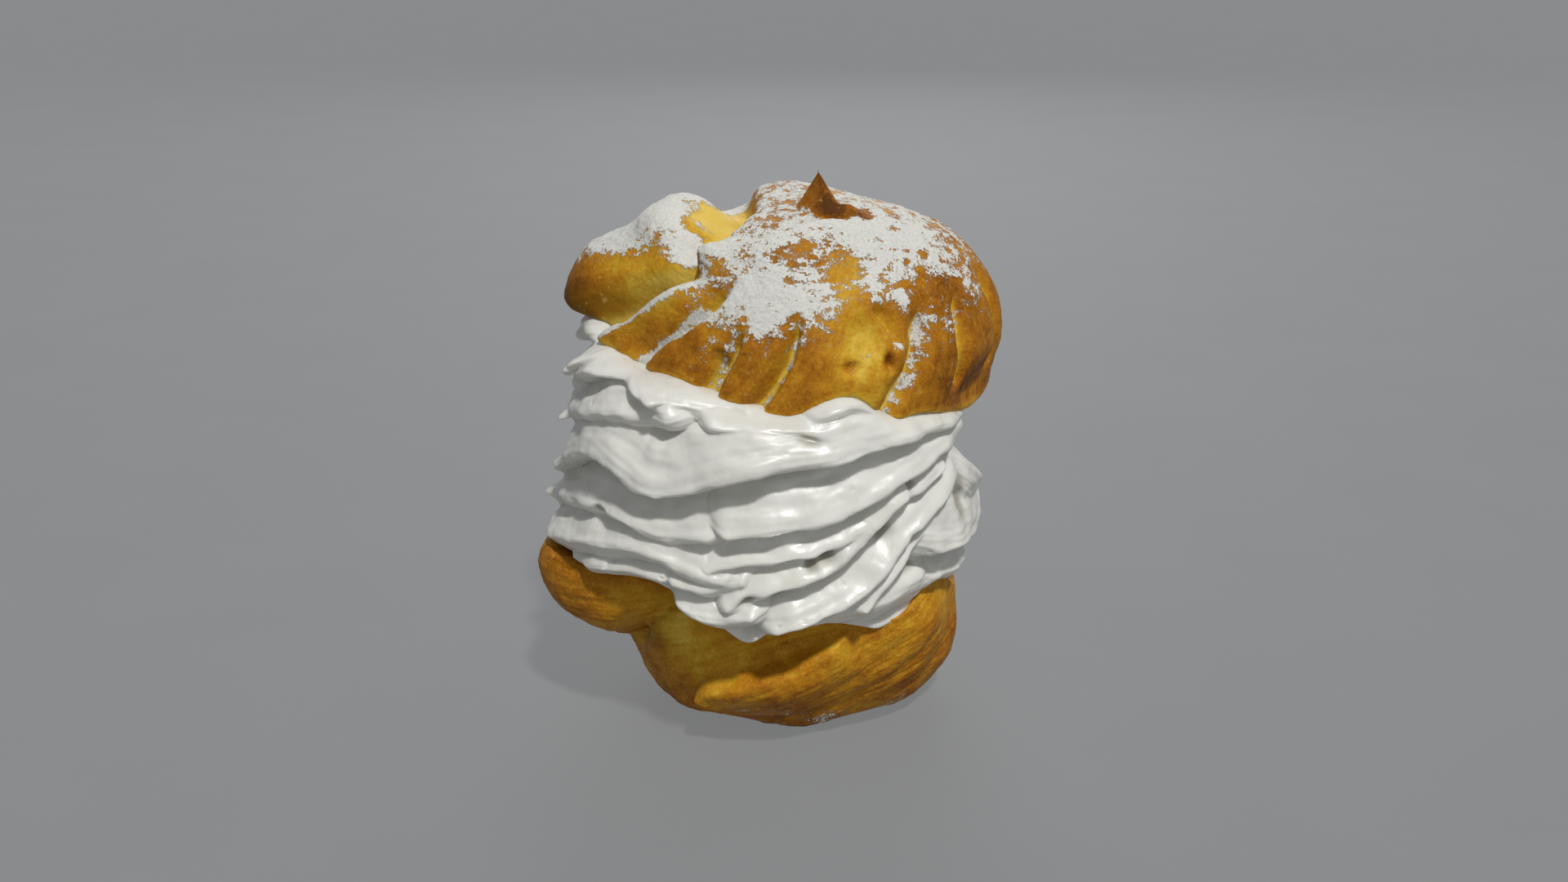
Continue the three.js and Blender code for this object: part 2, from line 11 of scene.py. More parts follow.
import bpy
import numpy as np
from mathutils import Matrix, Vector


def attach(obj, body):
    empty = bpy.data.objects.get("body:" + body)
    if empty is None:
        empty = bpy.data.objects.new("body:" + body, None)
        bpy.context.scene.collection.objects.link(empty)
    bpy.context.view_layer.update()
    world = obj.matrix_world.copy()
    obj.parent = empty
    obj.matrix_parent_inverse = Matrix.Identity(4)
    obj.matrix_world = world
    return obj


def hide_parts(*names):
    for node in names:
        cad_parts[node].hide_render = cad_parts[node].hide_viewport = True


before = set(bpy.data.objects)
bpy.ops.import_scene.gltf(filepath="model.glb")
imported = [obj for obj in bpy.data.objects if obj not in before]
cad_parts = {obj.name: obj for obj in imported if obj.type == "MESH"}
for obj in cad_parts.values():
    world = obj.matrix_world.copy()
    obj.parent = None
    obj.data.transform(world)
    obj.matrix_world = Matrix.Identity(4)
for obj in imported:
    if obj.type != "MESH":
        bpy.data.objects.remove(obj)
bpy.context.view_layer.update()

RAD = math.pi / 180
MM = 0.001
FINE = 1.0  # share of the rows and columns
CAP_GRID, BASE_GRID, CREAM_GRID = (620, 250), (560, 150), (760, 190)  # columns round, rows down
TINY = 1e-9  # keeps a division from zero

# ---------------- sizes, as in the CAD
FOOTPRINT_MIDDLE = np.array([-0.17, -1.92, 0.0])  # moved to the origin at the end
CAP_CENTRE = np.array([8.5, -10.0, 70.0])  # under the nub
BASE_CENTRE = np.array([3.0, 0.0, 24.0])
CREAM_AXIS = (-1.0, 0.0)
BALL = 40.0  # radius of the ball that lumps, spots and creases are laid out on
CREASE_REACH = 3  # in half widths
STRETCH = 0.663  # mm along the cream's side for each degree of azimuth

CAP_TOP, CAP_RADIUS, DOME_POWER = 26.0, 37.0, 2.1
DOME_OFFSET = (-2.5, 11.0)  # the dome's own middle, seen from the cap's centre
NUB_HEIGHT, NUB_WIDTH, NUB_POWER = 6.6, 9.2, 1.5
BASE_RADIUS, BASE_DEPTH, BOWL_POWER = 32.7, 25.9, 2.6
CREAM_RADIUS, CREAM_LEAN = 34.7, 1.5
LIP_TOP, LIP_BOTTOM = 4.5, 3.0  # heights over which the cream rounds in to the crusts

CAP_SEAM = dict(axis=(3.0, 0.0), radius=36.0, middle=70.0, edge=[
    (-180, 72), (-140, 74), (-105, 76), (-78, 76), (-61, 73), (-44, 71), (-30, 70.3), (-21, 68.6),
    (-13, 67.6), (0, 66), (11, 69), (18, 69.4), (28, 64.8), (39, 64.8), (55, 62.2), (70, 60.5),
    (95, 61.5), (135, 67)])
BASE_SEAM = dict(axis=(-1.0, 0.0), radius=37.0, middle=22.0, edge=[
    (-180, 27), (-130, 29), (-88, 34), (-66, 33.2), (-52, 33), (-38, 35), (-26, 34), (-18, 30.3),
    (-10, 28.4), (-3, 27), (5, 28.8), (16, 29), (32, 26), (44, 26), (54, 31), (64, 28), (83, 21.5),
    (120, 22)])

# ---------------- tables of the crusts' shapes
CAP_LUMPS = [  # azimuth, polar, height, half width round, half width down, squareness
    (-163, 38, 3.2, 15, 15, 2.2),  # the raised back
    (105, 45, 0.8, 18, 16, 2),
    (-106, 75, 8.9, 15, 9.5, 3.2),  # folded-out lobe, its lower hump
    (-108, 48.5, 6.2, 12.5, 8.6, 3.6),  # and its upper hump
    (-102, 40, -2.6, 6, 4.5, 2),  # bare hollow on top of it
    (100, 18, 0.6, 10, 9, 2),
    (-84, 84, 3.0, 8, 6, 2),  # tip of the flap in front of the lobe
    (80, 100, -3.5, 16, 7, 2),  # the right side drawn in above its rim
    (19, 68, -1.8, 7, 6.5, 2.2),  # bare hollow at the front
    (28, 79, -1.8, 1.8, 2.4, 2),  # a dark pit in it
    (12, 80, -0.9, 2.6, 1.6, 2.4),
    (-86, 74, -4.2, 7.5, 5.5, 2),  # dark hollow under the lobe
    (14, 45, -1.2, 6, 4.5, 2),  # bare patch above the front hollow
    (-100, 62, 0.9, 9, 3, 2),
    (-104, 41, -1.6, 5, 4, 2),
    (-64, 53, -1.6, 2.4, 2.4, 2),
    (-57, 45, 1.8, 5, 4, 2.4)]
BASE_LUMPS = [
    (-82, 84, 11.2, 21, 13, 2.6),  # lobe on the left
    (-60, 84, 4.4, 14, 10, 5),  # its shoulder over the bowl
    (-65, 130, 1.8, 14, 8, 2.5),  # foot below the lobe
    (60, 130, 2.2, 12, 7, 2.5),  # foot at the right
    (78, 116, 2.8, 18, 9, 2),
    (-8, 94, -3.2, 17, 7.5, 2.4),  # hollow above the rolled foot
    (-89, 80, 2.2, 10, 4.5, 2),  # tip of the lobe
    (46, 93, 2.4, 13, 9, 2),
    (8, 133, 1.5, 14, 7, 2),  # foot at the front
    (-38, 122, 1.5, 8, 6, 2)]  # blunt end of the rolled foot

# Creases and ridges: line of (azimuth, polar), height, width left, width right, fade in, fade out
LOBE_CREASES = [
    ([(-160, 62), (-144, 48), (-124, 36), (-102, 32), (-86, 36), (-75, 44), (-68, 53)],
     -8, 3.6, 4.6, 0.4, 0.12),  # lobe from dome
    ([(-66, 50), (-68, 56), (-72, 62), (-78, 68), (-84, 76), (-92, 88)],
     -6, 4.4, 3.2, 0.1, 0),  # lobe from flap
    ([(-52, 52), (-60, 62), (-67, 69), (-74, 76), (-83, 84)], 2.6, 2.4, 4, 0.35, 0)]  # flap's edge
FRONT_RIBS = [
    ([(-71, 91), (-59, 77), (-53, 72), (-44, 61), (-38, 50)], -3.0, 2.6, 1.2, 0.2, 0.3),
    ([(-42, 91), (-38, 81), (-37, 74)], -1.8, 1.6, 1.2, 0, 0.4),
    ([(-40, 96), (-36, 84), (-32, 76), (-30, 66)], -2.6, 2.2, 1.0, 0, 0.3),
    ([(-24, 97), (-18, 89), (-12, 78), (-9, 67), (-8, 58)], -2.8, 2.4, 1.0, 0, 0.3),
    ([(26, 102), (32, 91), (38, 82), (43, 69), (45, 58)], -3.0, 3.4, 1.5, 0, 0.25),
    ([(64, 92), (64, 79), (65, 71), (68, 58)], -2.0, 2.6, 1.2, 0, 0.3),
    ([(93, 92), (92, 77), (93, 60)], -1.8, 2.8, 1.4, 0, 0.3)]
TOP_CREASES = [
    ([(-62, 54), (-56, 46), (-46, 40), (-33, 35), (-20, 29), (-5, 23), (12, 22), (30, 25),
      (46, 30), (58, 38)], 2.0, 1.2, 7, 0.1, 0.3),  # step across the top
    ([(30, 4), (60, 11), (60, 18)], 1.3, 2.0, 2.2, 0.1, 0.4),  # crest beside the nub
    ([(22, 57), (28, 63), (31, 70), (31, 76)], -1.5, 2.6, 1.0, 0.3, 0.2)]  # side of the hollow
BACK_RIBS = [([(azimuth, 92), (azimuth - 2, 77), (azimuth - 7, 57)], -1.7, 3, 2, 0, 0.3)
             for azimuth in (125, 155, 185, 215)]
CAP_CREASES = LOBE_CREASES + FRONT_RIBS + TOP_CREASES + BACK_RIBS
BASE_CREASES = [
    ([(-31, 74), (-38, 80), (-44, 86.5), (-52, 94), (-60, 101.5), (-72, 110), (-84, 115)],
     -5.6, 3.4, 1.0, 0, 0.35),  # lobe from bowl
    ([(-31, 115), (-25, 109), (-12, 105), (0, 101), (12, 94), (24, 86)],
     3.8, 0.8, 8, 0.06, 0.25),  # upper edge of the rolled foot
    ([(-20, 128), (10, 121), (38, 108), (62, 92)], -0.5, 1.4, 2.4, 0.2, 0.2),
    ([(5, 113), (28, 103), (46, 90)], -0.35, 1.2, 2.0, 0.2, 0.2),
    ([(40, 122), (62, 108), (80, 92)], -0.5, 1.4, 2.4, 0.2, 0.2)]

# ---------------- tables of the cream's shape
FOLDS = [  # crest line of (azimuth, height), how far out, half width above, half width below
    ([(-81, 47.5), (-69, 51), (-60, 54.4), (-48, 57.2), (-40, 56.8), (-31, 54.6), (-22, 54.4),
      (-13, 56.8), (-3, 59.2), (10, 60), (24, 61.4), (41, 62), (75, 60.5)], 6.0, 8.5, 3.4),
    ([(-68, 66), (-59, 68.6), (-49, 71.4), (-41, 71.8), (-34, 70.2), (-28, 68.8)], 4.6, 4, 3),
    ([(-36, 71), (-23, 69.6), (-4, 67.2)], 3.2, 5, 4.5),
    ([(14, 67), (23, 68), (31, 66)], 3.8, 4.5, 5),
    ([(-12, 65.6), (10, 64.6), (22, 63.4), (49, 62)], 3.8, 4.5, 3.5),
    ([(-73, 59.7), (-60, 61.5), (-42, 64.8), (-24, 65.6)], 4.4, 4.5, 4.2),
    ([(-66, 68.5), (-57, 72), (-50, 75)], 4.8, 3.6, 4),
    ([(-70, 78), (-56, 77), (-47, 78)], 4.5, 4, 3),
    ([(-8, 47.6), (0, 48.2), (11, 49), (22, 51.2), (31, 53.3), (41, 55.4), (54, 57.2),
      (66, 58.4)], 5.6, 7, 2.8),
    ([(-84, 41), (-70, 43.6), (-57, 45.6), (-39, 46.8), (-25, 45.2), (-14, 46)], 4.4, 7, 4),
    ([(-82, 33.8), (-58, 38.6), (-44, 41), (-31, 42), (-20, 40.2), (-10, 38.6)], 5.0, 5, 5),
    ([(-17, 39.2), (-9, 41.2), (3, 42.2), (14, 43.6), (24, 45.4), (36, 50), (50, 54)],
     4.4, 4.2, 3.2),
    ([(-22, 36.8), (-14, 36.4), (-5, 38)], 4.4, 4, 3.5),
    ([(-8, 33.6), (2, 37), (13, 39.6), (20, 41.8), (28, 46.2), (36, 50), (52, 54)], 5.1, 4.2, 3),
    ([(-22, 31.8), (-12, 31), (-3, 31.6)], 4.8, 4.5, 3.5),
    ([(4, 29), (14, 31.8), (23, 34.4), (31, 38), (38, 43.2), (47, 47.4), (60, 51)], 5.4, 5, 3),
    ([(26, 31.5), (35, 37), (45, 43)], 4.2, 3.4, 3.4),
    ([(50, 39), (62, 38), (76, 37.4), (85, 39), (87, 41.4), (84, 44), (77, 47.2), (69, 51)],
     6.1, 15, 3.0),  # the fan at the right
    ([(20, 30.4), (37, 31.8), (46, 32.4)], 2.8, 5, 4.5),
    ([(54, 31.4), (63, 30.8), (72, 30.5)], 4.2, 4.5, 4),
    ([(-44, 35), (-36, 36.5), (-26, 37)], 3.8, 4, 3),
    ([(-58, 34.8), (-50, 35.2), (-44, 36)], 3.8, 4, 2.5),
    ([(84, 37), (104, 33), (126, 29.5)], 3.6, 4.5, 4),  # from here on, the sides and the back
    ([(278, 47.5), (250, 44.5), (222, 40.5), (196, 35.5), (172, 31)], 4.8, 7, 4.4),
    ([(287, 59.7), (258, 57), (230, 53.5), (200, 47), (172, 42), (145, 37.5), (118, 33.5),
      (96, 31)], 5.2, 7, 4.4),
    ([(292, 66), (262, 65), (236, 61.5), (208, 57.5), (180, 51.5), (152, 47.5), (124, 43),
      (100, 38.5)], 4.6, 6, 4.2),
    ([(290, 78), (268, 73), (240, 69), (212, 65), (186, 60), (158, 57.5), (132, 52.6),
      (112, 49)], 5.0, 7, 4.6),
    ([(232, 74), (204, 71.5), (178, 67), (150, 65.5), (126, 61), (106, 58)], 4.4, 6, 4.4),
    ([(160, 71.5), (136, 68), (112, 64.5), (92, 62), (72, 61)], 4.2, 5, 4.4),
    ([(277, 41), (252, 37.5), (230, 33.5), (208, 30)], 4.6, 5, 4),
    ([(279, 33.8), (262, 32), (246, 30)], 4.6, 4.5, 4),
    ([(150, 30), (175, 28.5), (200, 29)], 4.0, 4, 4)]
DABS = [  # small curls and dents: azimuth, height, out, half width round, half width up, tilt
    (-93, 69.9, 2.4, 3.2, 1.7, 0), (-87, 65.0, 2.6, 3.6, 1.8, 30),
    (-89, 55.6, 4.2, 2.6, 1.1, -15), (-90, 59.0, -2.2, 10, 2.6, 0),
    (-88, 46.2, 1.4, 3.0, 1.5, 10), (-90, 41.6, -2.6, 9, 1.6, 0), (-92, 38.8, 1.9, 4.4, 2.0, 10),
    (-90, 34.8, -1.4, 8, 1.3, 0), (-62, 71, 1.6, 2.4, 1.6, 30), (-28, 68, 1.4, 4.5, 2.2, -15),
    (-48, 71, 1.2, 4.0, 2.0, -20), (-30, 66.2, -2.4, 6.0, 1.7, -8), (-8, 67, -2.2, 7.0, 1.8, -4),
    (-24, 62, -0.9, 6.0, 1.6, -10), (-42, 50.4, -0.9, 6.0, 2.0, 10), (-34, 46, 0.7, 6.0, 2.2, 0),
    (-49, 32.6, 1.4, 2.2, 3.2, 0), (-44, 37, 0.9, 5.0, 2.0, 10), (0, 54, 0.6, 7.0, 2.0, 5),
    (16, 42, -2.8, 1.6, 1.1, 20), (12, 40.5, -2.2, 1.2, 0.9, 20), (32, 43.5, -3.2, 2.2, 1.3, 30),
    (40, 52.6, -1.8, 0.8, 1.6, -20), (42, 34.4, -1.6, 2.6, 0.7, 10),
    (-4, 34.9, -2.0, 2.0, 0.8, 30), (11, 63.4, -1.2, 2.2, 0.7, -5),
    (40, 43.4, -1.4, 1.2, 0.9, 40), (-46, 46.6, -0.8, 2.0, 0.8, 0), (3, 45.6, 0.5, 6.0, 1.5, 0),
    (34, 30.6, 0.8, 6.0, 2.4, 5), (8, 33, 0.7, 4.5, 1.4, 20), (22, 38.6, 0.6, 5.0, 1.4, 30),
    (58, 41, 0.8, 4.0, 3.0, 0), (62, 46, -0.9, 1.6, 5.0, 0), (72, 33, 1.0, 2.0, 1.6, 0),
    (150, 50, 0.9, 6.0, 2.0, 10), (205, 62, 0.8, 6.0, 2.0, 0), (240, 42, 0.8, 6.0, 2.0, 10),
    (115, 44, -1.2, 3.0, 1.2, 20), (190, 40, -1.2, 3.0, 1.0, -10), (170, 62, 0.8, 5.0, 1.6, 0),
    (222, 52, -1.4, 3.0, 1.0, 15)]
HOLE_WIDTH = 3.2  # dents narrower than this get painted shade inside
SWELLS = [  # slow bulges and waists: azimuth, half width, mm out, height where it starts, over
    (-85, 32, 2.8, 46, -12),  # the foot at the left, from height 46 down
    (-92, 34, -3.4, 43, 9),
    (94, 30, -4.6, 46, 8),
    (-92, 34, -2.4, 62, 6)]  # the neck hidden under the small lobe
TOP_ROUND, FOOT_ROUND = 3.2, 2.0  # rounding of its edges
SHOULDERS = [(-52, 34, 4.6), (-14, 18, 2.2)]  # more of it at the top: azimuth, half width, mm
DRIPS = [(-5, 1.6, 6), (14, 0.8, 3), (34, 0.7, 4)]  # sagging over the base: azimuth, mm, half width

# ---------------- tables of the crusts' looks
# Soft patches: azimuth, polar, amount, radius
CAP_PAINTED_SHADE = [(-95, 80, 0.75, 4.6), (-87, 75, 0.6, 4.0)]  # painted shade in the hollow under the small lobe
# painted shade at the edge beside the base's lobe
BASE_PAINTED_SHADE = [(-45, 98, 0.5, 3.5)]
SUGAR_SPOTS = [
    (-73, 55, 0.7, 2.2), (-78, 56, 0.6, 1.6), (-82, 66, 0.9, 1.4), (-30, 52, 0.45, 11),
    (-12, 60, 0.30, 9), (-55, 60, 0.25, 7), (-66, 74, 0.25, 5), (-100, 52, 0.35, 12),
    (-70, 62, -0.5, 4.0), (-80, 72, -0.5, 5), (-104, 56, 0.4, 8), (-55, 44, 0.6, 5),
    (-18, 64, 0.35, 6), (2, 58, 0.3, 5), (46, 66, 0.3, 3), (58, 70, 0.35, 3), (66, 52, 0.3, 4),
    (-45, 72, 0.35, 3), (4, 68, 0.25, 3), (12, 80, -0.5, 3), (28, 80, -0.5, 3),
    (-101, 40, -1.4, 3.0), (-112, 38.5, -1.4, 3.0), (-90, 42.5, -1.0, 2.2), (22, 8, -1.2, 2.6),
    (42, 12, -1.3, 2.8), (66, 18, -1.2, 2.4), (18, 66, -0.45, 7), (14, 46, -0.35, 4),
    (34, 10, -1.2, 3.5), (64, 44, -0.3, 3), (60, 58, -0.45, 6), (95, 74, -0.3, 12),
    (28, 50, 0.15, 8), (40, 62, 0.25, 5), (70, 45, 0.2, 12), (76, 62, 0.25, 4), (0, 95, -0.3, 14),
    (-100, 92, -0.5, 12), (24, 24, 0.35, 7), (50, 30, 0.25, 9)]
BASE_SUGAR = [
    (-88, 77, 1.10, 3.2), (-82, 84, 0.5, 3), (-16, 117, 0.34, 6), (0, 121, 0.38, 6),
    (16, 127, 0.65, 4), (46, 126, 0.5, 5)]
CAP_TONES_AND_SHADE = [
    (18, 68, -0.34, 7), (10, 50, -0.20, 6), (26, 44, -0.12, 6), (-66, 62, -0.34, 6),
    # The spots at (-105, 88), (-93, 78) and (-98, 84) are painted shade under the small lobe.
    (-80, 72, -0.25, 7), (-70, 62, -0.30, 6), (-105, 88, 0.16, 9), (-93, 78, 0.12, 5),
    (-98, 84, 0.14, 6), (-101, 40, -0.40, 4.5), (-113, 38.5, -0.40, 4.5), (-90, 60, -0.16, 7),
    (22, 8, 0.35, 3), (42, 12, 0.35, 3), (66, 18, 0.3, 2.5), (60, 95, 0.10, 12),
    (28, 79, 0.30, 2), (-45, 78, 0.06, 8), (70, 72, 0.06, 14), (60, 58, 0.12, 8),
    (12, 79, -0.22, 4.5), (12, 79, 0.42, 2.2), (20, 92, -0.18, 8), (20, 80, -0.13, 8),
    (-59, 53, 0.3, 2)]
BASE_TONES = [
    (-38, 92, -0.30, 6), (-26, 100, -0.16, 9), (-70, 98, 0.12, 7), (-64, 86, 0.04, 10),
    (-5, 96, -0.05, 10), (58, 98, -0.06, 12), (62, 116, 0.14, 14), (0, 126, 0.20, 12),
    (-90, 80, -0.10, 6), (-45, 125, 0.16, 8), (70, 85, -0.05, 8)]
SUGAR_LINES = [  # as the creases, with an amount of sugar for the height
    ([(-70, 91), (-65, 82), (-54, 70), (-48, 62)], 1.25, 0.9, 1.2, 0, 0.2),
    ([(-43, 92), (-39, 83), (-34, 74), (-31, 66)], 0.7, 0.9, 0.8, 0, 0.2),
    ([(-86, 86), (-76, 77), (-68, 69), (-58, 61)], 0.9, 1.6, 1.8, 0, 0.1),
    ([(-80, 88), (-71, 79), (-61, 70), (-54, 65)], -1.0, 1.5, 1.5, 0, 0.2),
    ([(-66, 92), (-56, 81), (-47, 73), (-42, 67)], -0.7, 2.2, 2.2, 0, 0.2),
    ([(-106, 82), (-98, 78), (-93, 70), (-86, 64), (-79, 59), (-73, 57)], -1.0, 3.2, 3.2, 0, 0),
    ([(27, 97), (32, 90), (35, 85)], 0.42, 1.1, 1.1, 0, 0.2),
    ([(42, 80), (43, 72), (45, 62)], 0.22, 0.8, 0.8, 0.1, 0.2),
    ([(14, 60), (26, 56), (36, 55), (42, 61)], 0.35, 1.6, 1.6, 0.2, 0.2),
    ([(-24, 97), (-20, 91), (-15, 83)], 0.22, 0.7, 0.7, 0, 0.3),
    ([(-56, 44), (-42, 37), (-28, 31), (-14, 25), (6, 23)], 0.25, 1.5, 4.0, 0.1, 0.2)]
RIB_LINE = (1, 0.8, 0.5, 0, 0.3)  # the pale line along a rib, as the creases

# What adds up to the sugar (0 bare, 1 thick), the browning with some painted shade on the cap (0
# pale, 1 dark) and the relief (mm)
CAP_SUGAR = Amounts(sifted=0.66, caught=0.25, fleck=0.30, drift=0.20, clump=0.16, flake=0.42,
                    under=0.35, split=1.3, nub=1.2)
# Its under is painted shade: the crust is darker where it faces down.
CAP_BROWN_AND_SHADE = Amounts(even=0.56, soft=0.07, wrinkle=0.05, grain=0.08, crease=0.16, under=0.16,
                    rib_line=0.34, split=0.36, rim=0.30, nub=0.25)
CAP_RELIEF = Amounts(soft=0.30, wrinkle=0.16, grain=0.07, fine=0.06, powder=0.10,
                     powder_fine=0.06, powder_clump=0.05, less_on_nub=0.2)
BASE_SPECKS = Amounts(even=-0.05, clump=0.16, fine=0.10)
BASE_BROWN = Amounts(even=0.50, soft=0.08, wrinkle=0.07, grain=0.12, crease=0.10, foot=0.22)
BASE_RELIEF = Amounts(soft=0.34, wrinkle=0.11, grain=0.10, fine=0.05)
CREAM_RELIEF = Amounts(soft=0.32, fine=0.03, streak=0.30, ripple=0.13, pit=0.35)


# ---------------- helpers
def wrap(a):
    """The same angle between -180 and 180."""
    return (a + 180.0) % 360.0 - 180.0


def smooth(x):
    """From 0 to 1 with soft ends, as x goes from 0 to 1."""
    x = np.clip(x, 0, 1)
    return x * x * (3 - 2 * x)


def ease(value, start, over):
    """From 0 to 1 with soft ends, as the value goes from start to start + over."""
    return smooth((value - start) / over)


def bell(x, width):
    return np.exp(-(x / width) ** 2)


def blend(a, b, t):
    return a + (b - a) * t


def fade(t, share):
    """A soft start over a share of a line, or none at all."""
    return smooth(t / share) if share else 1


def soft_max(a, b, r):
    """The larger of two, rounded over r where they meet."""
    h = np.clip(0.5 + 0.5 * (a - b) / r, 0, 1)
    return b + (a - b) * h + r * h * (1 - h)


def crossing(low, high, value, rounds=24):
    """Where a value passes zero on its way down, for every column, by halving low to high."""
    for _ in range(rounds):
        middle = 0.5 * (low + high)
        up = value(middle) > 0
        low, high = np.where(up, middle, low), np.where(up, high, middle)
    return 0.5 * (low + high)


def curve(points, pieces=8):
    """A smooth line through the points."""
    P = np.array(points, float)
    out = []
    for i in range(len(P) - 1):
        p0, p1, p2, p3 = P[max(i - 1, 0)], P[i], P[i + 1], P[min(i + 2, len(P) - 1)]
        for k in range(pieces):
            t = k / pieces
            out.append(0.5 * (2 * p1 + (p2 - p0) * t + (2 * p0 - 5 * p1 + 4 * p2 - p3) * t * t
                              + (3 * p1 - p0 - 3 * p2 + p3) * t ** 3))
    out.append(P[-1])
    return np.array(out)


def direction(a, f):
    """Unit vector at azimuth a and polar angle f."""
    a, f = np.asarray(a, float) * RAD, np.asarray(f, float) * RAD
    return np.stack([np.sin(f) * np.sin(a), -np.sin(f) * np.cos(a), np.cos(f) + 0 * a], -1)


def angles(unit):
    """Azimuth and polar angle of unit vectors."""
    azimuth = np.arctan2(unit[:, 0], -unit[:, 1]) / RAD
    return azimuth, np.arccos(np.clip(unit[:, 2], -1, 1)) / RAD


def round_table(table, a):
    """A smooth closed curve through a table of (azimuth, value)."""
    A = np.array([t[0] for t in table], float)
    V = np.array([t[1] for t in table], float)
    A = np.concatenate([A[-2:] - 360, A, A[:2] + 360])
    V = np.concatenate([V[-2:], V, V[:2]])
    slope = (V[2:] - V[:-2]) / (A[2:] - A[:-2])
    a = np.where(a < A[2], a + 360, a)
    i = np.clip(np.searchsorted(A, a, side="right") - 1, 1, len(A) - 3)
    h = A[i + 1] - A[i]
    t = (a - A[i]) / h
    return (V[i] * (2 * t ** 3 - 3 * t * t + 1) + slope[i - 1] * h * (t ** 3 - 2 * t * t + t)
            + V[i + 1] * (3 * t * t - 2 * t ** 3) + slope[i] * h * (t ** 3 - t * t))


def seam_height(seam, x, y):
    """Height of a seam: a cone from its middle out to its wavy edge."""
    dx, dy = x - seam["axis"][0], y - seam["axis"][1]
    reach = np.minimum(np.hypot(dx, dy) / seam["radius"], 1)
    edge = round_table(seam["edge"], np.arctan2(dx, -dy) / RAD)
    return seam["middle"] + (edge - seam["middle"]) * reach


def nearest(p, outward, line, reach):
    """Points within reach of a line: which, how far, on which side (-1 to 1) and how far along,
    then the line's whole length."""
    low, high = line.min(0) - reach, line.max(0) + reach
    ids = np.nonzero(((p > low) & (p < high)).all(1))[0]
    normals = outward[ids] if outward.ndim == 2 else np.broadcast_to(outward, (len(ids), 3))
    best, side, along = np.full(len(ids), np.inf), np.zeros(len(ids)), np.zeros(len(ids))
    walked = 0.0
    for start, end in zip(line[:-1], line[1:]):
        step = end - start
        length = math.sqrt(step @ step)
        off = p[ids] - start
        t = np.clip(off @ step / length ** 2, 0, 1)
        away = off - t[:, None] * step
        d = np.sqrt((away * away).sum(1))
        closer = d < best
        left = np.cross(normals[closer], step / length)
        side[closer] = (away[closer] * left).sum(1) / np.maximum(d[closer], TINY)
        best[closer], along[closer] = d[closer], walked + t[closer] * length
        walked += length
    return ids, best, side, along, walked


CELLS = 256
draws = np.random.default_rng(7)
SHUFFLED = draws.permutation(CELLS)
GRADIENTS = draws.normal(size=(CELLS, 3))
GRADIENTS /= np.linalg.norm(GRADIENTS, axis=1)[:, None]
NOISE_ORIGIN, SEED_STEP, NOISE_GAIN = 101.7, 17.31, 1.6


def noise(p, size, seed=0):
    """Gradient noise of a given feature size, about -1 to 1."""
    q = p / size + seed * SEED_STEP + NOISE_ORIGIN
    i = np.floor(q).astype(np.int64)
    f = q - i
    u = f * f * f * (f * (f * 6 - 15) + 10)
    last = CELLS - 1
    i &= last
    total = 0.0
    for dx in (0, 1):
        wx = u[:, 0] if dx else 1 - u[:, 0]
        hx = SHUFFLED[(i[:, 0] + dx) & last]
        for dy in (0, 1):
            wy = u[:, 1] if dy else 1 - u[:, 1]
            hy = SHUFFLED[(hx + i[:, 1] + dy) & last]
            for dz in (0, 1):
                wz = u[:, 2] if dz else 1 - u[:, 2]
                g = GRADIENTS[SHUFFLED[(hy + i[:, 2] + dz) & last]]
                total = total + wx * wy * wz * (g[:, 0] * (f[:, 0] - dx) + g[:, 1] * (f[:, 1] - dy)
                                                + g[:, 2] * (f[:, 2] - dz))
    return total * NOISE_GAIN


def layers(p, size, octaves, seed):
    """Noise at one size, half that size and so on, each half as strong."""
    out, amount = 0.0, 1.0
    for k in range(octaves):
        out = out + amount * noise(p, size / 2 ** k, seed + k)
        amount *= 0.5
    return out


def lump_height(unit, lumps):
    """Sum of lumps and dents, each a soft ellipse on the ball."""
    out = np.zeros(len(unit))
    for a, f, height, across, down, square in lumps:
        c = direction(a, f)
        east = direction(a + 90, 90)
        south = np.cross(east, c)
        cosine = np.clip(unit @ c, -1, 1)
        off = unit - cosine[:, None] * c
        size = np.maximum(np.sqrt((off * off).sum(1)), TINY)
        arc = np.arccos(cosine) * BALL
        u, v = off @ east / size * arc / across, off @ south / size * arc / down
        out += height * np.exp(-(u * u + v * v) ** (square / 2))
    return out


def spots(unit, table):
    """Sum of round soft patches."""
    out = np.zeros(len(unit))
    for a, f, amount, radius in table:
        arc = np.arccos(np.clip(unit @ direction(a, f), -1, 1)) * BALL
        out += amount * bell(arc, radius)
    return out


def crease_height(unit, creases):
    """Sum of creases and ridges."""
    out = np.zeros(len(unit))
    p = unit * BALL
    for points, height, left, right, fade_in, fade_out in creases:
        line = direction(*curve(points).T) * BALL
        ids, d, side, along, total = nearest(p, unit, line, CREASE_REACH * max(left, right))
        width = blend(right, left, 0.5 + 0.5 * side)
        t = along / total
        out[ids] += height * fade(t, fade_in) * fade(1 - t, fade_out) * bell(d, width)
    return out


# ---------------- grids and meshes
FACE_RINGS = 10
FACE_DEPTH, FACE_STEP = 1.0, 1.2  # inner faces lie this deep in their piece; outer rings step back


def columns(grid):
    """Columns and rows of a grid, and the columns' azimuths."""
    cols, rows = int(grid[0] * FINE), int(grid[1] * FINE)
    return cols, rows, np.arange(cols) * 360.0 / cols - 180


def grid_normals(G):
    across = np.roll(G, -1, 1) - np.roll(G, 1, 1)
    down = np.empty_like(G)
    down[1:-1] = G[2:] - G[:-2]
    down[0], down[-1] = G[1] - G[0], G[-1] - G[-2]
    n = np.cross(down, across)
    return n / np.maximum(np.linalg.norm(n, axis=2), TINY)[..., None]


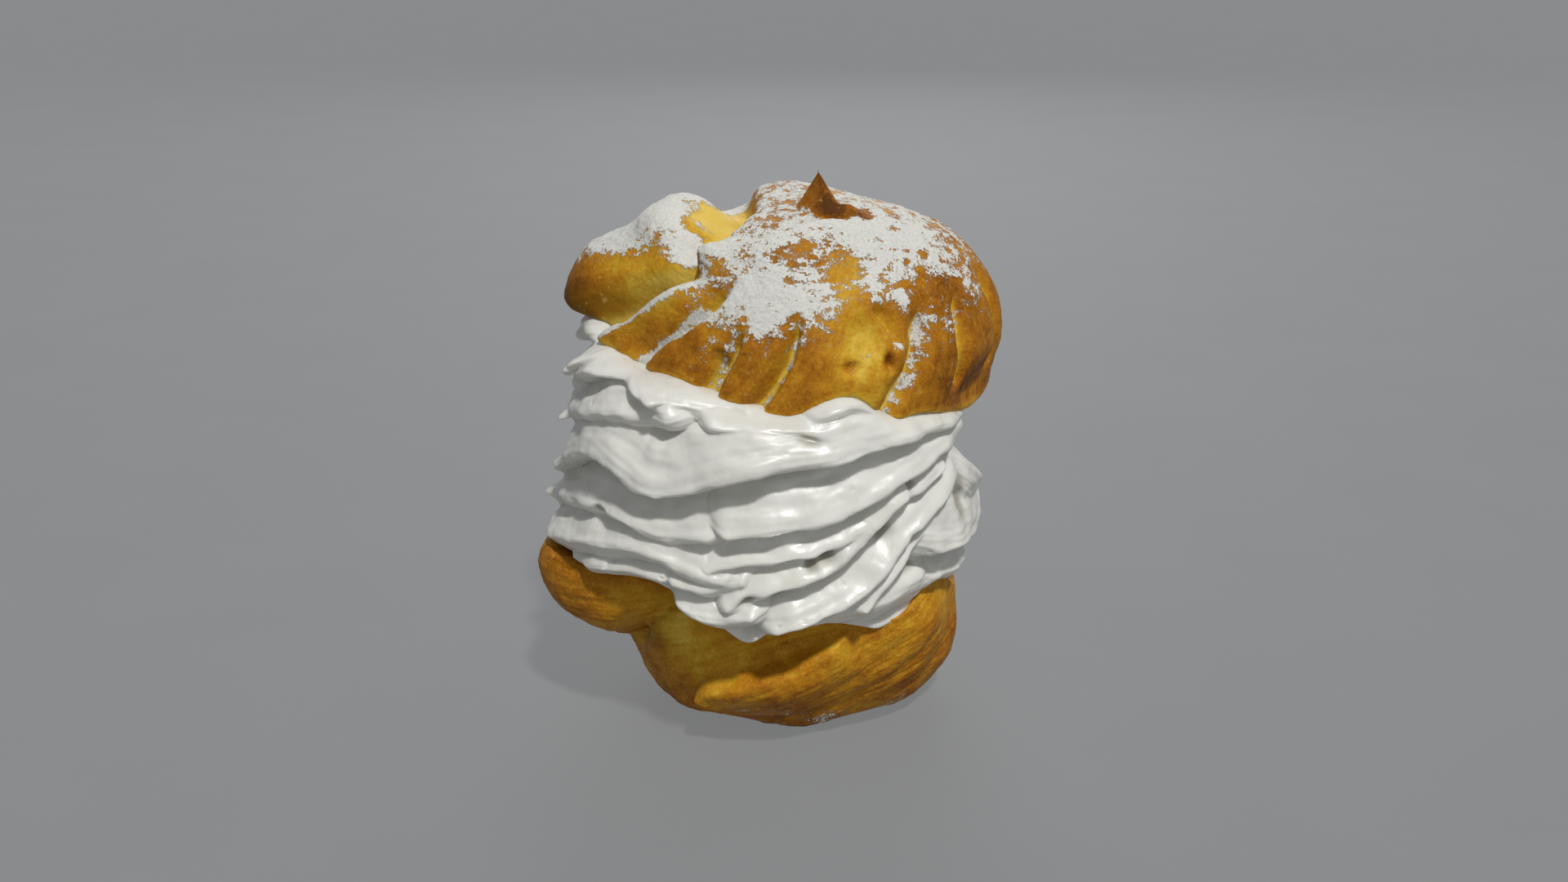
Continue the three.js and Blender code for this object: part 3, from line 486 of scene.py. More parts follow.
def star_points(centre, radius, creases, a, f):
    """Points of a star-shaped surface, their directions from its centre and its creases there."""
    a, f = np.broadcast_arrays(np.asarray(a, float), np.asarray(f, float))
    shape, a, f = a.shape, a.ravel(), f.ravel()
    unit = direction(a, f)
    crease = crease_height(unit, creases)
    p = centre + unit * radius(unit, a, f, crease)[:, None]
    return p.reshape(shape + (3,)), unit.reshape(shape + (3,)), crease.reshape(shape)


def squarish(unit, across, up, power):
    """Radius of an ellipsoid with fuller shoulders."""
    level = np.hypot(unit[:, 0], unit[:, 1])
    return ((level / across) ** power + (np.abs(unit[:, 2]) / up) ** power) ** (-1 / power)


def over_seam(points, a, seam, lap):
    """A function of the polar angle: how far a surface lies over a raised seam."""
    def value(f):
        p = points(a, f)[0]
        return p[:, 2] - seam_height(seam, p[:, 0], p[:, 1]) - lap
    return value


def seam_face(seam, middle, ring, side, shares, snug):
    """Rings, as shares of an edge ring, and the middle point that close a piece along a seam.

    Side is 1 for a piece above it and -1 below. Shares over snug stay close to the seam."""
    rings = []
    for share in shares:
        x = middle[0] + (ring[:, 0] - middle[0]) * share
        y = middle[1] + (ring[:, 1] - middle[1]) * share
        z = seam_height(seam, x, y) + side * FACE_DEPTH - side * FACE_STEP * (share > snug)
        rings.append(np.stack([x, y, z], -1))
    return rings, np.array([middle[0], middle[1], seam["middle"] + side * FACE_DEPTH])


def ring_faces(rows, cols):
    """Corners and sizes of the faces: quads between rings, triangles at both ends."""
    this = np.arange(cols)
    following = (this + 1) % cols
    upper = 1 + np.arange(rows - 1)[:, None] * cols
    lower = upper + cols
    quads = np.stack([upper + this, lower + this, lower + following, upper + following], -1)
    top = np.stack([0 * this, 1 + this, 1 + following], -1)
    end = 1 + (rows - 1) * cols
    bottom = np.stack([0 * this + end + cols, end + following, end + this], -1)
    corners = np.concatenate([quads.ravel(), top.ravel(), bottom.ravel()])
    return corners, np.concatenate([np.full((rows - 1) * cols, 4), np.full(2 * cols, 3)])


def build(name, node, first, over, G, under, last, attributes):
    """A closed mesh from rings of points, top to bottom, between its two end points.

    The rings over and under the grid take the attributes of its first and last row."""
    rings = np.array([*over, *G, *under])
    verts = (np.concatenate([[first], rings.reshape(-1, 3), [last]]) - FOOTPRINT_MIDDLE) * MM
    corners, sizes = ring_faces(*rings.shape[:2])
    starts = np.concatenate([[0], np.cumsum(sizes)[:-1]])
    mesh = bpy.data.meshes.new(name)
    mesh.vertices.add(len(verts))
    mesh.vertices.foreach_set("co", verts.ravel())
    mesh.loops.add(len(corners))
    mesh.loops.foreach_set("vertex_index", corners.astype(np.int32))
    mesh.polygons.add(len(sizes))
    mesh.polygons.foreach_set("loop_start", starts.astype(np.int32))
    mesh.update(calc_edges=True)
    mesh.validate()
    mesh.polygons.foreach_set("use_smooth", np.ones(len(mesh.polygons), bool))
    for key, values in attributes.items():
        grid = values.reshape(G.shape[:2])
        grid = np.pad(grid, ((len(over), len(under)), (0, 0)), mode="edge")
        values = np.concatenate([[grid[0].mean()], grid.ravel(), [grid[-1].mean()]])
        layer = mesh.attributes.new(key, "FLOAT", "POINT")
        layer.data.foreach_set("value", values.astype(np.float32))
    piece = bpy.data.objects.new(name, mesh)
    bpy.context.collection.objects.link(piece)
    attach(piece, "root")
    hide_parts(node)
    return piece


# ---------------- the cap
CAP_LAP = 0.2  # how far the rim reaches down past its seam
RIM_SEARCH = (62.0, 125.0)  # polar angles
ROWS_EVEN, ROWS_CROWDED, ROWS_POWER = 0.3, 0.7, 1.25  # rows crowd together towards the nub
RIM_ROUND, RIM_ROLL, RIM_REACH = 1.6, 0.7, 36  # height of its rounding, how far in, its radius
RIM_FLAT = 0.02  # share of the rows over which the relief ends at the rim


def nub_height(f):
    """The point that the piping bag left on top."""
    return NUB_HEIGHT * (1 - np.clip(f / NUB_WIDTH, 0, 1)) ** NUB_POWER


def cap_radius(unit, a, f, crease):
    s, c = np.sin(a * RAD), -np.cos(a * RAD)
    ahead = DOME_OFFSET[0] * s + DOME_OFFSET[1] * c
    aside = DOME_OFFSET[0] * c - DOME_OFFSET[1] * s
    outline = ahead + np.sqrt(CAP_RADIUS ** 2 - aside ** 2)
    dome = squarish(unit, outline, CAP_TOP, DOME_POWER)
    return dome + lump_height(unit, CAP_LUMPS) + crease + nub_height(f)


def cap_points(a, f):
    return star_points(CAP_CENTRE, cap_radius, CAP_CREASES, a, f)


def cap_grain(A, F, lean=0.45, less_at_right=0.4, radius=26, drawn=0.10):
    """Fine streaks along the ribs, which lean as the piping turned."""
    turned = (A - (90 - F) * (lean - less_at_right * np.sin(A * RAD))) * RAD
    ribs = np.stack([np.cos(turned) * radius, np.sin(turned) * radius, F * drawn], -1)
    return noise(ribs, 1.5, seed=3) + 0.6 * noise(ribs, 0.7, seed=4)


def cap_sugar(p, unit, nz, dent):
    """Powdered sugar: sifted from above, caught in creases, knocked off in flecks."""
    s = CAP_SUGAR
    flat = p * (0.5, 0.5, 1.3)  # wider than high
    flakes = noise(flat, 1.5, seed=24) + 0.5 * noise(flat, 0.8, seed=25)
    flecks = noise(p * (0.45, 0.45, 1.0), 1.1, seed=27)
    sugar = s.sifted * ease(nz, 0.05, 0.9)
    sugar += spots(unit, SUGAR_SPOTS) + crease_height(unit, SUGAR_LINES)
    sugar += s.caught * smooth(dent / 2.0) * ease(nz, -0.1, 0.4)
    sugar -= s.fleck * ease(flecks, 0.25, 0.3) * ease(sugar, 0.95, -0.3)  # where it isn't thick
    sugar += (s.drift * noise(p, 7.0, seed=21) + s.clump * noise(p, 2.4, seed=22)
              + s.flake * np.minimum(flakes + 0.15, 0.35))
    return sugar - s.under * smooth(-nz / 0.3)


def make_cap():
    cols, rows, a = columns(CAP_GRID)
    rim = crossing(*RIM_SEARCH, over_seam(cap_points, a, CAP_SEAM, -CAP_LAP))
    t = (np.arange(1, rows + 1) / rows)[:, None]
    f = (ROWS_EVEN * t + ROWS_CROWDED * t ** ROWS_POWER) * rim
    G, unit, crease = cap_points(a, f)
    N = grid_normals(G)
    p, U, nz, dent = G.reshape(-1, 3), unit.reshape(-1, 3), N[..., 2].ravel(), -crease.ravel()
    A, F = angles(U)
    grain = cap_grain(A, F)
    soft, wrinkle = layers(p, 9.0, 3, seed=9), layers(p, 5.0, 4, seed=5)
    low = ease(F, 55, 25)  # the grain shows only on the lower half
    split = ease(dent, 2.8, 2.5)  # the deep split beside the small lobe is bare and pale
    nub = bell(F, 5.0)

    sugar = cap_sugar(p, U, nz, dent)
    sugar -= CAP_SUGAR.split * split
    sugar -= CAP_SUGAR.nub * nub

    b = CAP_BROWN_AND_SHADE
    tone = b.even + b.soft * soft + b.wrinkle * wrinkle + b.grain * grain * low
    tone += spots(U, CAP_TONES_AND_SHADE) - b.crease * smooth(dent / 2.2)
    # painted shade: darker where the crust faces down
    tone += b.under * ease(-nz, 0.05, 0.5)
    tone -= b.rib_line * crease_height(U, [(rib[0], *RIB_LINE) for rib in FRONT_RIBS + BACK_RIBS])
    tone -= b.split * split
    tone -= b.rim * ease(np.repeat(t, cols), 0.965, 0.03)  # thin pale edge
    tone += b.nub * nub

    r = CAP_RELIEF
    relief = (r.soft * soft + r.wrinkle * wrinkle + r.grain * grain * low
              + r.fine * noise(p, 0.9, seed=12))
    powder = ease(sugar, 0.42, 0.25)
    relief += powder * (r.powder + r.powder_fine * noise(p, 0.8, seed=31)
                        + r.powder_clump * noise(p, 2.0, seed=32))
    relief *= 1 - r.less_on_nub * nub
    edge = np.minimum(1, np.arange(rows)[::-1] / (rows * RIM_FLAT))[:, None, None]
    G = G + N * relief.reshape(rows, cols, 1) * edge
    near_rim = np.clip(1 - (rim - f) * RAD * RIM_REACH / RIM_ROUND, 0, 1)
    pull = RIM_ROUND * RIM_ROLL * (1 - np.sqrt(1 - near_rim ** 2))  # the rim rolls in a little
    G[..., :2] -= unit[..., :2] * pull[..., None]

    apex = cap_points(0.0, 0.0)[0].reshape(3)
    shares = np.linspace(0.96, 0.2, FACE_RINGS)
    under, middle = seam_face(CAP_SEAM, CAP_CENTRE, G[-1], 1, shares, snug=0.9)
    looks = dict(tone=tone, sugar=sugar, grain=grain, painted_shade=spots(U, CAP_PAINTED_SHADE))
    return build("choux_cap_crust", "choux_cap",
                 apex, [], G, under, middle, looks)


# ---------------- the base
BASE_LAP = 0.3  # how far the wall reaches up past its seam
TOP_SEARCH = (55.0, 125.0)  # polar angles
FOOT_START, FOOT_END = 5, 175.0  # polar angle past the top's, and the last one
WALL_FLAT = 0.03  # share of the rows over which the relief ends at the seam
SOLE_SHARES = (0.7, 0.35)  # rings of the flat underside


def base_radius(unit, a, f, crease):
    bowl = squarish(unit, BASE_RADIUS, BASE_DEPTH, BOWL_POWER)
    return bowl + lump_height(unit, BASE_LUMPS) + crease


def base_points(a, f):
    return star_points(BASE_CENTRE, base_radius, BASE_CREASES, a, f)


def base_grain(p, A, F, rise=26, turn=10, radius=3.8, drawn=0.6):
    """Stretched skin: streaks that run up to the right round the bowl."""
    climb = (F + rise * np.sin((A - turn) * RAD)) * drawn
    flow = np.stack([np.cos(A * RAD) * radius, np.sin(A * RAD) * radius, climb], -1)
    flow += 0.5 * noise(p, 6.0, seed=42)[:, None]
    return 0.7 * noise(flow, 1.1, seed=43) + 0.9 * noise(flow * (0.7, 0.7, 1.4), 0.6, seed=44)


def make_base():
    cols, rows, a = columns(BASE_GRID)
    top = crossing(*TOP_SEARCH, over_seam(base_points, a, BASE_SEAM, BASE_LAP))
    foot = crossing(top + FOOT_START, FOOT_END, lambda f: base_points(a, f)[0][:, 2])
    t = np.linspace(0, 1, rows)[:, None]
    G, unit, crease = base_points(a, top + (foot - top) * t)
    N = grid_normals(G)
    p, U = G.reshape(-1, 3), unit.reshape(-1, 3)
    grain = base_grain(p, *angles(U))
    soft, wrinkle = layers(p, 9.0, 3, seed=49), layers(p, 3.2, 4, seed=45)

    b = BASE_BROWN
    tone = b.even + b.soft * soft + b.wrinkle * wrinkle + b.grain * grain + spots(U, BASE_TONES)
    tone -= b.crease * smooth(-crease.ravel() / 2.2)
    tone += b.foot * ease(p[:, 2], 4.5, -5.0)
    s = BASE_SPECKS
    sugar = (s.even + spots(U, BASE_SUGAR) + s.clump * noise(p, 3.0, seed=61)
             + s.fine * noise(p, 1.2, seed=62))

    r = BASE_RELIEF
    relief = (r.soft * soft + r.wrinkle * wrinkle + r.grain * grain
              + r.fine * noise(p, 0.9, seed=52))
    calm = smooth(p[:, 2] / 2.0)  # no relief where it stands
    edge = np.minimum(1, np.arange(rows) / (rows * WALL_FLAT))[:, None]
    G = G + N * ((relief * calm).reshape(rows, cols) * edge)[..., None]
    G[..., 2] = np.maximum(G[..., 2], 0)
    G[-1, :, 2] = 0

    shares = np.linspace(0.15, 0.97, FACE_RINGS)
    over, middle = seam_face(BASE_SEAM, BASE_CENTRE, G[0], -1, shares, snug=0.9)
    sole = BASE_CENTRE * (1, 1, 0)
    under = [sole + (G[-1] - sole) * share for share in SOLE_SHARES]
    looks = dict(tone=tone, sugar=sugar, grain=grain, painted_shade=spots(U, BASE_PAINTED_SHADE))
    return build("choux_base_crust", "choux_base",
                 middle, over, G, under, sole, looks)


# ---------------- the cream
VALLEY = -2.0  # how deep the cream goes between folds
FOLD_REACH, FOLD_MERGE = 1.6, 0.55  # a fold's reach in half widths; rounding where two meet (mm)
CREST = 0.05  # rounding of a crest, as a share of the fold's half width
ABOVE_POWER, BELOW_POWER, BEYOND_SLOPE = 1.25, 0.7, 1.5  # a fold's profile
WEAVE, FINE_WEAVE, WOBBLE = 0.45, 0.10, 0.13  # how much a fold wanders (mm) and swells (share)
BEAD_AT, BEAD_WIDTH, BEAD_HEIGHT = 0.7, 0.42, 0.24  # thin wet bead just above each crest
BEAD_EVEN, BEAD_UNEVEN = 0.7, 0.5
OVERHANG, OVERHANG_FROM = 0.46, 4.2  # mm down for each mm that a fold stands out past 4.2
FILL_TOP, FILL_BOTTOM, FILL_SLOPE, FILL_ROUND = 1.6, 1.8, 1.1, 0.8  # it fills up to both crusts
CREAM_START = (68.0, 30.0)  # first guess of its edges' heights
CREAM_LAP_TOP, CREAM_LAP_BOTTOM = 0.7, 0.25  # how far it reaches past its seams
CROWDING = 0.35  # rows crowd together at both edges
EDGE_POWER, EDGE_GAIN = 0.7, 4  # how soon the overhang and the relief end at the edges
SETTLING = 10  # rounds until the edges lie on the seams


def side_points(x, z):
    """Points on the cream's unrolled side."""
    return np.stack([x, 0 * x, z], -1)


def fold_profile(d, side, up, down):
    """Height of a fold, from 1 at its crest: a long slope above and a steep one below."""
    u = d / blend(down, up, 0.5 + 0.5 * side)
    v = np.sqrt(u * u + CREST ** 2) - CREST
    above, below = 1 - v ** ABOVE_POWER, np.maximum(1 - v, 0) ** BELOW_POWER
    inside = blend(below, above, smooth(0.5 + 0.5 * side))
    return np.where(v < 1, inside, -(v - 1) * BEYOND_SLOPE)


def fold_streaks(run, across, n):
    """Streaks that follow fold n."""
    coarse = np.stack([run / 11.0, across / 1.9, 0 * run + n * 3.7], -1)
    fine = np.stack([run / 6.0, across / 0.8, 0 * run + n * 5.3], -1)
    return noise(coarse, 1.0, seed=80) + 0.45 * noise(fine, 1.0, seed=81)


def cream_out(a, z):
    """How far the folds stand out, their streaks, their wet crests and the small holes that get
    painted shade.
    """
    out = np.full(a.shape, VALLEY)
    streak, crest, hole = np.zeros(a.shape), np.zeros(a.shape), np.zeros(a.shape)
    for n, (points, height, up, down) in enumerate(FOLDS):
        c = curve(points)
        middle = 0.5 * (c[:, 0].min() + c[:, 0].max())
        x = (wrap(a - middle) + middle) * STRETCH
        ids, d, side, along, _ = nearest(
            side_points(x, z), np.array([0, -1.0, 0]), side_points(c[:, 0] * STRETCH, c[:, 1]),
            FOLD_REACH * max(up, down))
        track = np.stack([along, 0 * along, 0 * along], -1)
        across = side * d
        weave = (WEAVE * noise(track, 4.5, seed=170 + n)
                 + FINE_WEAVE * noise(track, 1.3, seed=270 + n) * np.exp(-d / 1.5)) * side
        shape = fold_profile(np.maximum(d + weave, 0), side, up, down)
        wobble = 1 + WOBBLE * noise(track, 7.0, seed=70 + n)
        bead = bell(across - BEAD_AT, BEAD_WIDTH) * (
            BEAD_EVEN + BEAD_UNEVEN * noise(track, 6.0, seed=320 + n))
        h = height * wobble * shape + BEAD_HEIGHT * bead
        before = out[ids]
        out[ids] = soft_max(before, h, FOLD_MERGE)
        streak[ids] = np.where(h > before, fold_streaks(x[ids], across, n), streak[ids])
        crest[ids] = np.where(h > before, bead, crest[ids])
    for azimuth, height, amount, across, up, tilt in DABS:
        x, y = wrap(a - azimuth) * STRETCH, z - height
        c, s = math.cos(tilt * RAD), math.sin(tilt * RAD)
        dab = np.exp(-((x * c + y * s) / across) ** 2 - ((y * c - x * s) / up) ** 2)
        out += amount * dab
        if amount < 0 and across < HOLE_WIDTH:
            hole += dab
    return out, streak, crest, hole


def cream_points(a, z, top, bottom):
    """Points of the cream's side, how far it stands out, its streaks, crests and holes."""
    a, z, top, bottom = np.broadcast_arrays(a, z, top, bottom)
    shape = a.shape
    a, z, top, bottom = (v.ravel().astype(float) for v in (a, z, top, bottom))
    out, streak, crest, hole = cream_out(a, z)
    out = soft_max(out, FILL_BOTTOM - FILL_SLOPE * (z - bottom), FILL_ROUND)
    out = soft_max(out, FILL_TOP - FILL_SLOPE * (top - z), FILL_ROUND)
    r = CREAM_RADIUS + CREAM_LEAN * np.cos(a * RAD)
    for azimuth, width, amount, start, over in SWELLS:
        r = r + amount * bell(wrap(a - azimuth), width) * ease(z, start, over)
    r = r + out
    shoulder = TOP_ROUND
    for azimuth, width, amount in SHOULDERS:
        shoulder = shoulder + amount * bell(wrap(a - azimuth), width)
    high = np.clip((top - z) / LIP_TOP, 0, 1)
    low = np.clip((z - bottom) / LIP_BOTTOM, 0, 1)
    r = (r - shoulder * (1 - np.sqrt(1 - (1 - high) ** 2))
         - FOOT_ROUND * (1 - np.sqrt(1 - (1 - low) ** 2)))
    x, y = CREAM_AXIS[0] + r * np.sin(a * RAD), CREAM_AXIS[1] - r * np.cos(a * RAD)
    looks = (v.reshape(shape) for v in (out, streak, crest, hole))
    return np.stack([x, y, z], -1).reshape(shape + (3,)), *looks


def make_cream():
    cols, rows, a = columns(CREAM_GRID)
    top, bottom = (np.full(cols, height) for height in CREAM_START)
    drips = sum(amount * bell(wrap(a - at), wide) for at, amount, wide in DRIPS)
    for _ in range(SETTLING):  # the seams' height depends on where the edges are
        p = cream_points(a, top, top, bottom)[0]
        top = seam_height(CAP_SEAM, p[:, 0], p[:, 1]) + CREAM_LAP_TOP
        p = cream_points(a, bottom, top, bottom)[0]
        bottom = seam_height(BASE_SEAM, p[:, 0], p[:, 1]) - CREAM_LAP_BOTTOM - drips
    t = np.linspace(0, 1, rows)[:, None]
    share = t - CROWDING * np.sin(2 * np.pi * t) / (2 * np.pi)
    G, out, streak, crest, hole = cream_points(a, top + (bottom - top) * share, top, bottom)
    inside = np.sin(np.pi * t) ** EDGE_POWER
    G[..., 2] += OVERHANG * (OVERHANG_FROM - out) * inside  # each fold hangs over the one below
    N = grid_normals(G)

    p = G.reshape(-1, 3)
    soft, fine = layers(p, 7.5, 2, seed=91), layers(p, 1.4, 3, seed=95)
    ripple = layers(p * (0.7, 0.7, 1.2), 3.2, 2, seed=93)
    pits = ease(noise(p, 1.3, seed=97), 0.62, 0.2) * ease(noise(p, 7.0, seed=98), 0.05, 0.3)
    r = CREAM_RELIEF
    relief = r.soft * soft + r.fine * fine + r.streak * streak.ravel() + r.ripple * ripple
    relief -= r.pit * pits
    G = G + N * (relief.reshape(rows, cols) * np.minimum(1, inside * EDGE_GAIN))[..., None]

    shares = np.linspace(0.15, 0.96, FACE_RINGS)
    over, first = seam_face(CAP_SEAM, CREAM_AXIS, G[0], -1, shares, snug=0.85)
    shares = np.linspace(0.96, 0.15, FACE_RINGS)
    under, last = seam_face(BASE_SEAM, CREAM_AXIS, G[-1], 1, shares, snug=0.85)
    looks = dict(folds=out, streak=streak, crest=crest, hole=hole)
    return build("whipped_cream_folds", "whipped_cream",
                 first, over, G, under, last, looks)


# ---------------- materials
CRUST_COLOURS = [  # from pale to dark
    (0.00, (0.70, 0.51, 0.10)), (0.22, (0.59, 0.365, 0.027)), (0.42, (0.485, 0.222, 0.013)),
    (0.60, (0.37, 0.138, 0.009)), (0.78, (0.195, 0.066, 0.005)), (1.00, (0.065, 0.022, 0.004))]
# colour of the painted shade patches on the crusts
PAINTED_SHADE_COLOUR = (0.135, 0.060, 0.003)
BLISTER_COLOUR = (0.62, 0.40, 0.10)
SUGAR_COLOURS = [(0.25, (0.50, 0.50, 0.46)), (0.6, (0.68, 0.685, 0.645))]
CREAM_COLOURS = (0.66, 0.65, 0.595), (0.70, 0.695, 0.65)
# painted shade in the valleys between the cream's folds
PAINTED_VALLEY_SHADE = (0.56, 0.54, 0.47)
# painted shade inside the cream's small holes
PAINTED_HOLE_SHADE = (0.26, 0.235, 0.175)
FLOOR_COLOURS = [(0.3, (0.058, 0.059, 0.060)), (0.7, (0.063, 0.064, 0.065))]
CRUST_SHADER = {
    "Specular IOR Level": 0.08, "Subsurface Weight": 0.12,
    "Subsurface Radius": (1.0, 0.45, 0.15), "Subsurface Scale": 1.2 * MM}
CREAM_SHADER = {
    "Specular IOR Level": 0.5, "Subsurface Weight": 0.5,
    "Subsurface Radius": (1.0, 0.9, 0.75), "Subsurface Scale": 1.8 * MM}
FLOOR_SHADER = {  # it glows faintly, so that the shadow on it is as weak as in the photo
    "Emission Color": (0.29, 0.295, 0.30, 1), "Emission Strength": 0.62,
    "Roughness": 0.75, "Specular IOR Level": 0.2}
NOISE_LOW, NOISE_HIGH = 0.3, 0.7  # what a noise texture mostly keeps to


class Nodes:
    """A short way to write a material's node tree. Sizes are in millimetres."""

    def __init__(self, name):
        self.material = bpy.data.materials.new(name)
        self.material.use_nodes = True
        self.tree = self.material.node_tree
        self.shader = self.tree.nodes["Principled BSDF"]
        self.place = self.add("TexCoord", {}, "Object")

    def put(self, socket, value):
        """Link an output to a socket, or set the socket."""
        if hasattr(value, "is_output"):
            self.tree.links.new(value, socket)
        elif value is not None:
            socket.default_value = value

    def add(self, kind, inputs, output, **options):
        """Output of a new node."""
        node = self.tree.nodes.new("ShaderNode" + kind)
        for key, value in options.items():
            setattr(node, key, value)
        for key, value in inputs.items():
            self.put(node.inputs[key], value)
        return node.outputs[output]

    def dress(self, values):
        """Set or link the shader's own sockets."""
        for key, value in values.items():
            self.put(self.shader.inputs[key], value)

    def attribute(self, name):
        return self.add("Attribute", {}, "Fac", attribute_name=name)

    def noise(self, size, detail=3.0, rough=0.55, warp=0.0):
        return self.add("TexNoise", {
            "Vector": self.place, "Scale": 1000.0 / size, "Detail": detail, "Roughness": rough,
            "Distortion": warp}, "Fac")

    def cells(self, size):
        return self.add("TexVoronoi", {"Vector": self.place, "Scale": 1000.0 / size}, "Distance")

    def math(self, operation, a, b, clamp=False):
        return self.add("Math", {0: a, 1: b}, 0, operation=operation, use_clamp=clamp)

    def span(self, value, low, high, to_low=0.0, to_high=1.0, kind="SMOOTHSTEP"):
        return self.add("MapRange", {
            "Value": value, "From Min": low, "From Max": high, "To Min": to_low,
            "To Max": to_high}, "Result", interpolation_type=kind)

    def sway(self, texture, amount):
        """A noise texture as an even spread from -amount to amount."""
        return self.span(texture, NOISE_LOW, NOISE_HIGH, -amount, amount, "LINEAR")

    def ramp(self, value, stops):
        node = self.tree.nodes.new("ShaderNodeValToRGB")
        ramp = node.color_ramp
        ramp.interpolation = "B_SPLINE" if len(stops) > 3 else "LINEAR"
        while len(ramp.elements) < len(stops):
            ramp.elements.new(0.5)
        for element, (at, colour) in zip(ramp.elements, stops):
            element.position = at
            element.color = (*colour, 1)
        self.put(node.inputs["Fac"], value)
        return node.outputs["Color"]

    def mix(self, factor, a, b):
        """A colour blended into another; each is an output or three numbers."""
        node = self.tree.nodes.new("ShaderNodeMix")
        node.data_type = "RGBA"
        self.put(node.inputs[0], factor)
        sockets = [socket for socket in node.inputs if socket.type == "RGBA"]
        for socket, value in zip(sockets, (a, b)):
            self.put(socket, value if hasattr(value, "is_output") else (*value, 1))
        return next(socket for socket in node.outputs if socket.type == "RGBA")

    def bump(self, height, distance, strength, under=None):
        return self.add("Bump", {
            "Height": height, "Distance": distance * MM, "Strength": strength, "Normal": under},
            "Normal")


def crust_material(name, mottling):
    m = Nodes(name)
    tone, sugar, grain, painted_shade = (m.attribute(key) for key in ("tone", "sugar", "grain", "painted_shade"))
    mottle = m.noise(2.6, detail=5.0, rough=0.6, warp=0.4)
    flecks = m.noise(0.55, detail=4.0, rough=0.65)
    shade = m.math("ADD", tone, m.sway(mottle, mottling))
    shade = m.math("ADD", shade, m.sway(flecks, 0.10))
    # painted shade: the patches under the lobes turn dark olive-brown
    colour = m.mix(painted_shade, m.ramp(shade, CRUST_COLOURS), PAINTED_SHADE_COLOUR)
    blister = m.span(m.noise(1.2, detail=2.0, rough=0.5), 0.64, 0.74)  # the odd paler blister
    colour = m.mix(m.math("MULTIPLY", blister, 0.35), colour, BLISTER_COLOUR)

    grains = m.noise(0.42, detail=3.0, rough=0.7)
    clumps = m.noise(1.3, detail=3.0, rough=0.6, warp=0.3)
    cover = m.math("ADD", sugar, m.sway(grains, 0.30))
    cover = m.math("ADD", cover, m.sway(clumps, 0.26))
    dust = m.span(cover, 0.36, 0.70, to_high=0.46)
    thick = m.span(cover, 0.50, 0.62, to_high=0.96)
    powder = m.math("MAXIMUM", dust, thick)
    colour = m.mix(powder, colour, m.ramp(grains, SUGAR_COLOURS))

    gloss = m.span(mottle, NOISE_LOW, NOISE_HIGH, 0.42, 0.58, "LINEAR")
    rough = m.math("ADD", gloss, m.math("MULTIPLY", powder, 0.42), clamp=True)
    pores = m.bump(m.span(m.cells(0.9), 0.0, 0.45), 0.05, 0.5)
    skin = m.bump(m.noise(0.7, detail=5.0, rough=0.65), 0.16, 0.8, under=pores)
    streaks = m.bump(grain, 0.06, 0.7, under=skin)
    heaps = m.math("MULTIPLY", powder, m.math("ADD", grains, 0.8))
    m.dress({"Base Color": colour, "Roughness": rough,
             "Normal": m.bump(heaps, 0.16, 0.9, under=streaks)})
    m.dress(CRUST_SHADER)
    return m.material


def cream_material():
    m = Nodes("whipped_cream")
    folds, streak, crest, hole = (m.attribute(key) for key in ("folds", "streak", "crest", "hole"))
    soft = m.noise(5.0, detail=4.0, rough=0.55, warp=0.3)
    colour = m.mix(m.span(soft, NOISE_LOW, NOISE_HIGH), *CREAM_COLOURS)
    # painted shade: the cream darkens in the valleys between folds
    colour = m.mix(m.span(folds, -0.6, 1.6, 0.35, 0.0), colour, PAINTED_VALLEY_SHADE)
    # painted shade: the small holes turn dark
    colour = m.mix(m.span(hole, 0.2, 0.8, to_high=0.7), colour, PAINTED_HOLE_SHADE)
    wet = m.noise(3.2, detail=4.0, rough=0.6, warp=0.6)
    matt = m.span(wet, 0.35, 0.65, 0.30, 0.44)
    rough = m.math("SUBTRACT", matt, m.span(crest, 0.2, 0.65, to_high=0.20))
    fine = m.bump(m.noise(0.8, detail=3.0, rough=0.5), 0.03, 0.4)
    streaks = m.bump(streak, 0.10, 0.55, under=fine)
    dimples = m.noise(3.2, detail=2.0, rough=0.5, warp=0.8)
    m.dress({"Base Color": colour, "Roughness": rough,
             "Normal": m.bump(dimples, 0.08, 0.45, under=streaks)})
    m.dress(CREAM_SHADER)
    return m.material


def floor_material():
    m = Nodes("pale_floor")
    patches = m.noise(40.0, detail=3.0, rough=0.5)
    m.dress({"Base Color": m.ramp(patches, FLOOR_COLOURS)})
    m.dress(FLOOR_SHADER)
    return m.material


cap, base, cream = make_cap(), make_base(), make_cream()
cap.data.materials.append(crust_material("choux_cap_crust", mottling=0.10))
base.data.materials.append(crust_material("choux_base_crust", mottling=0.09))
cream.data.materials.append(cream_material())

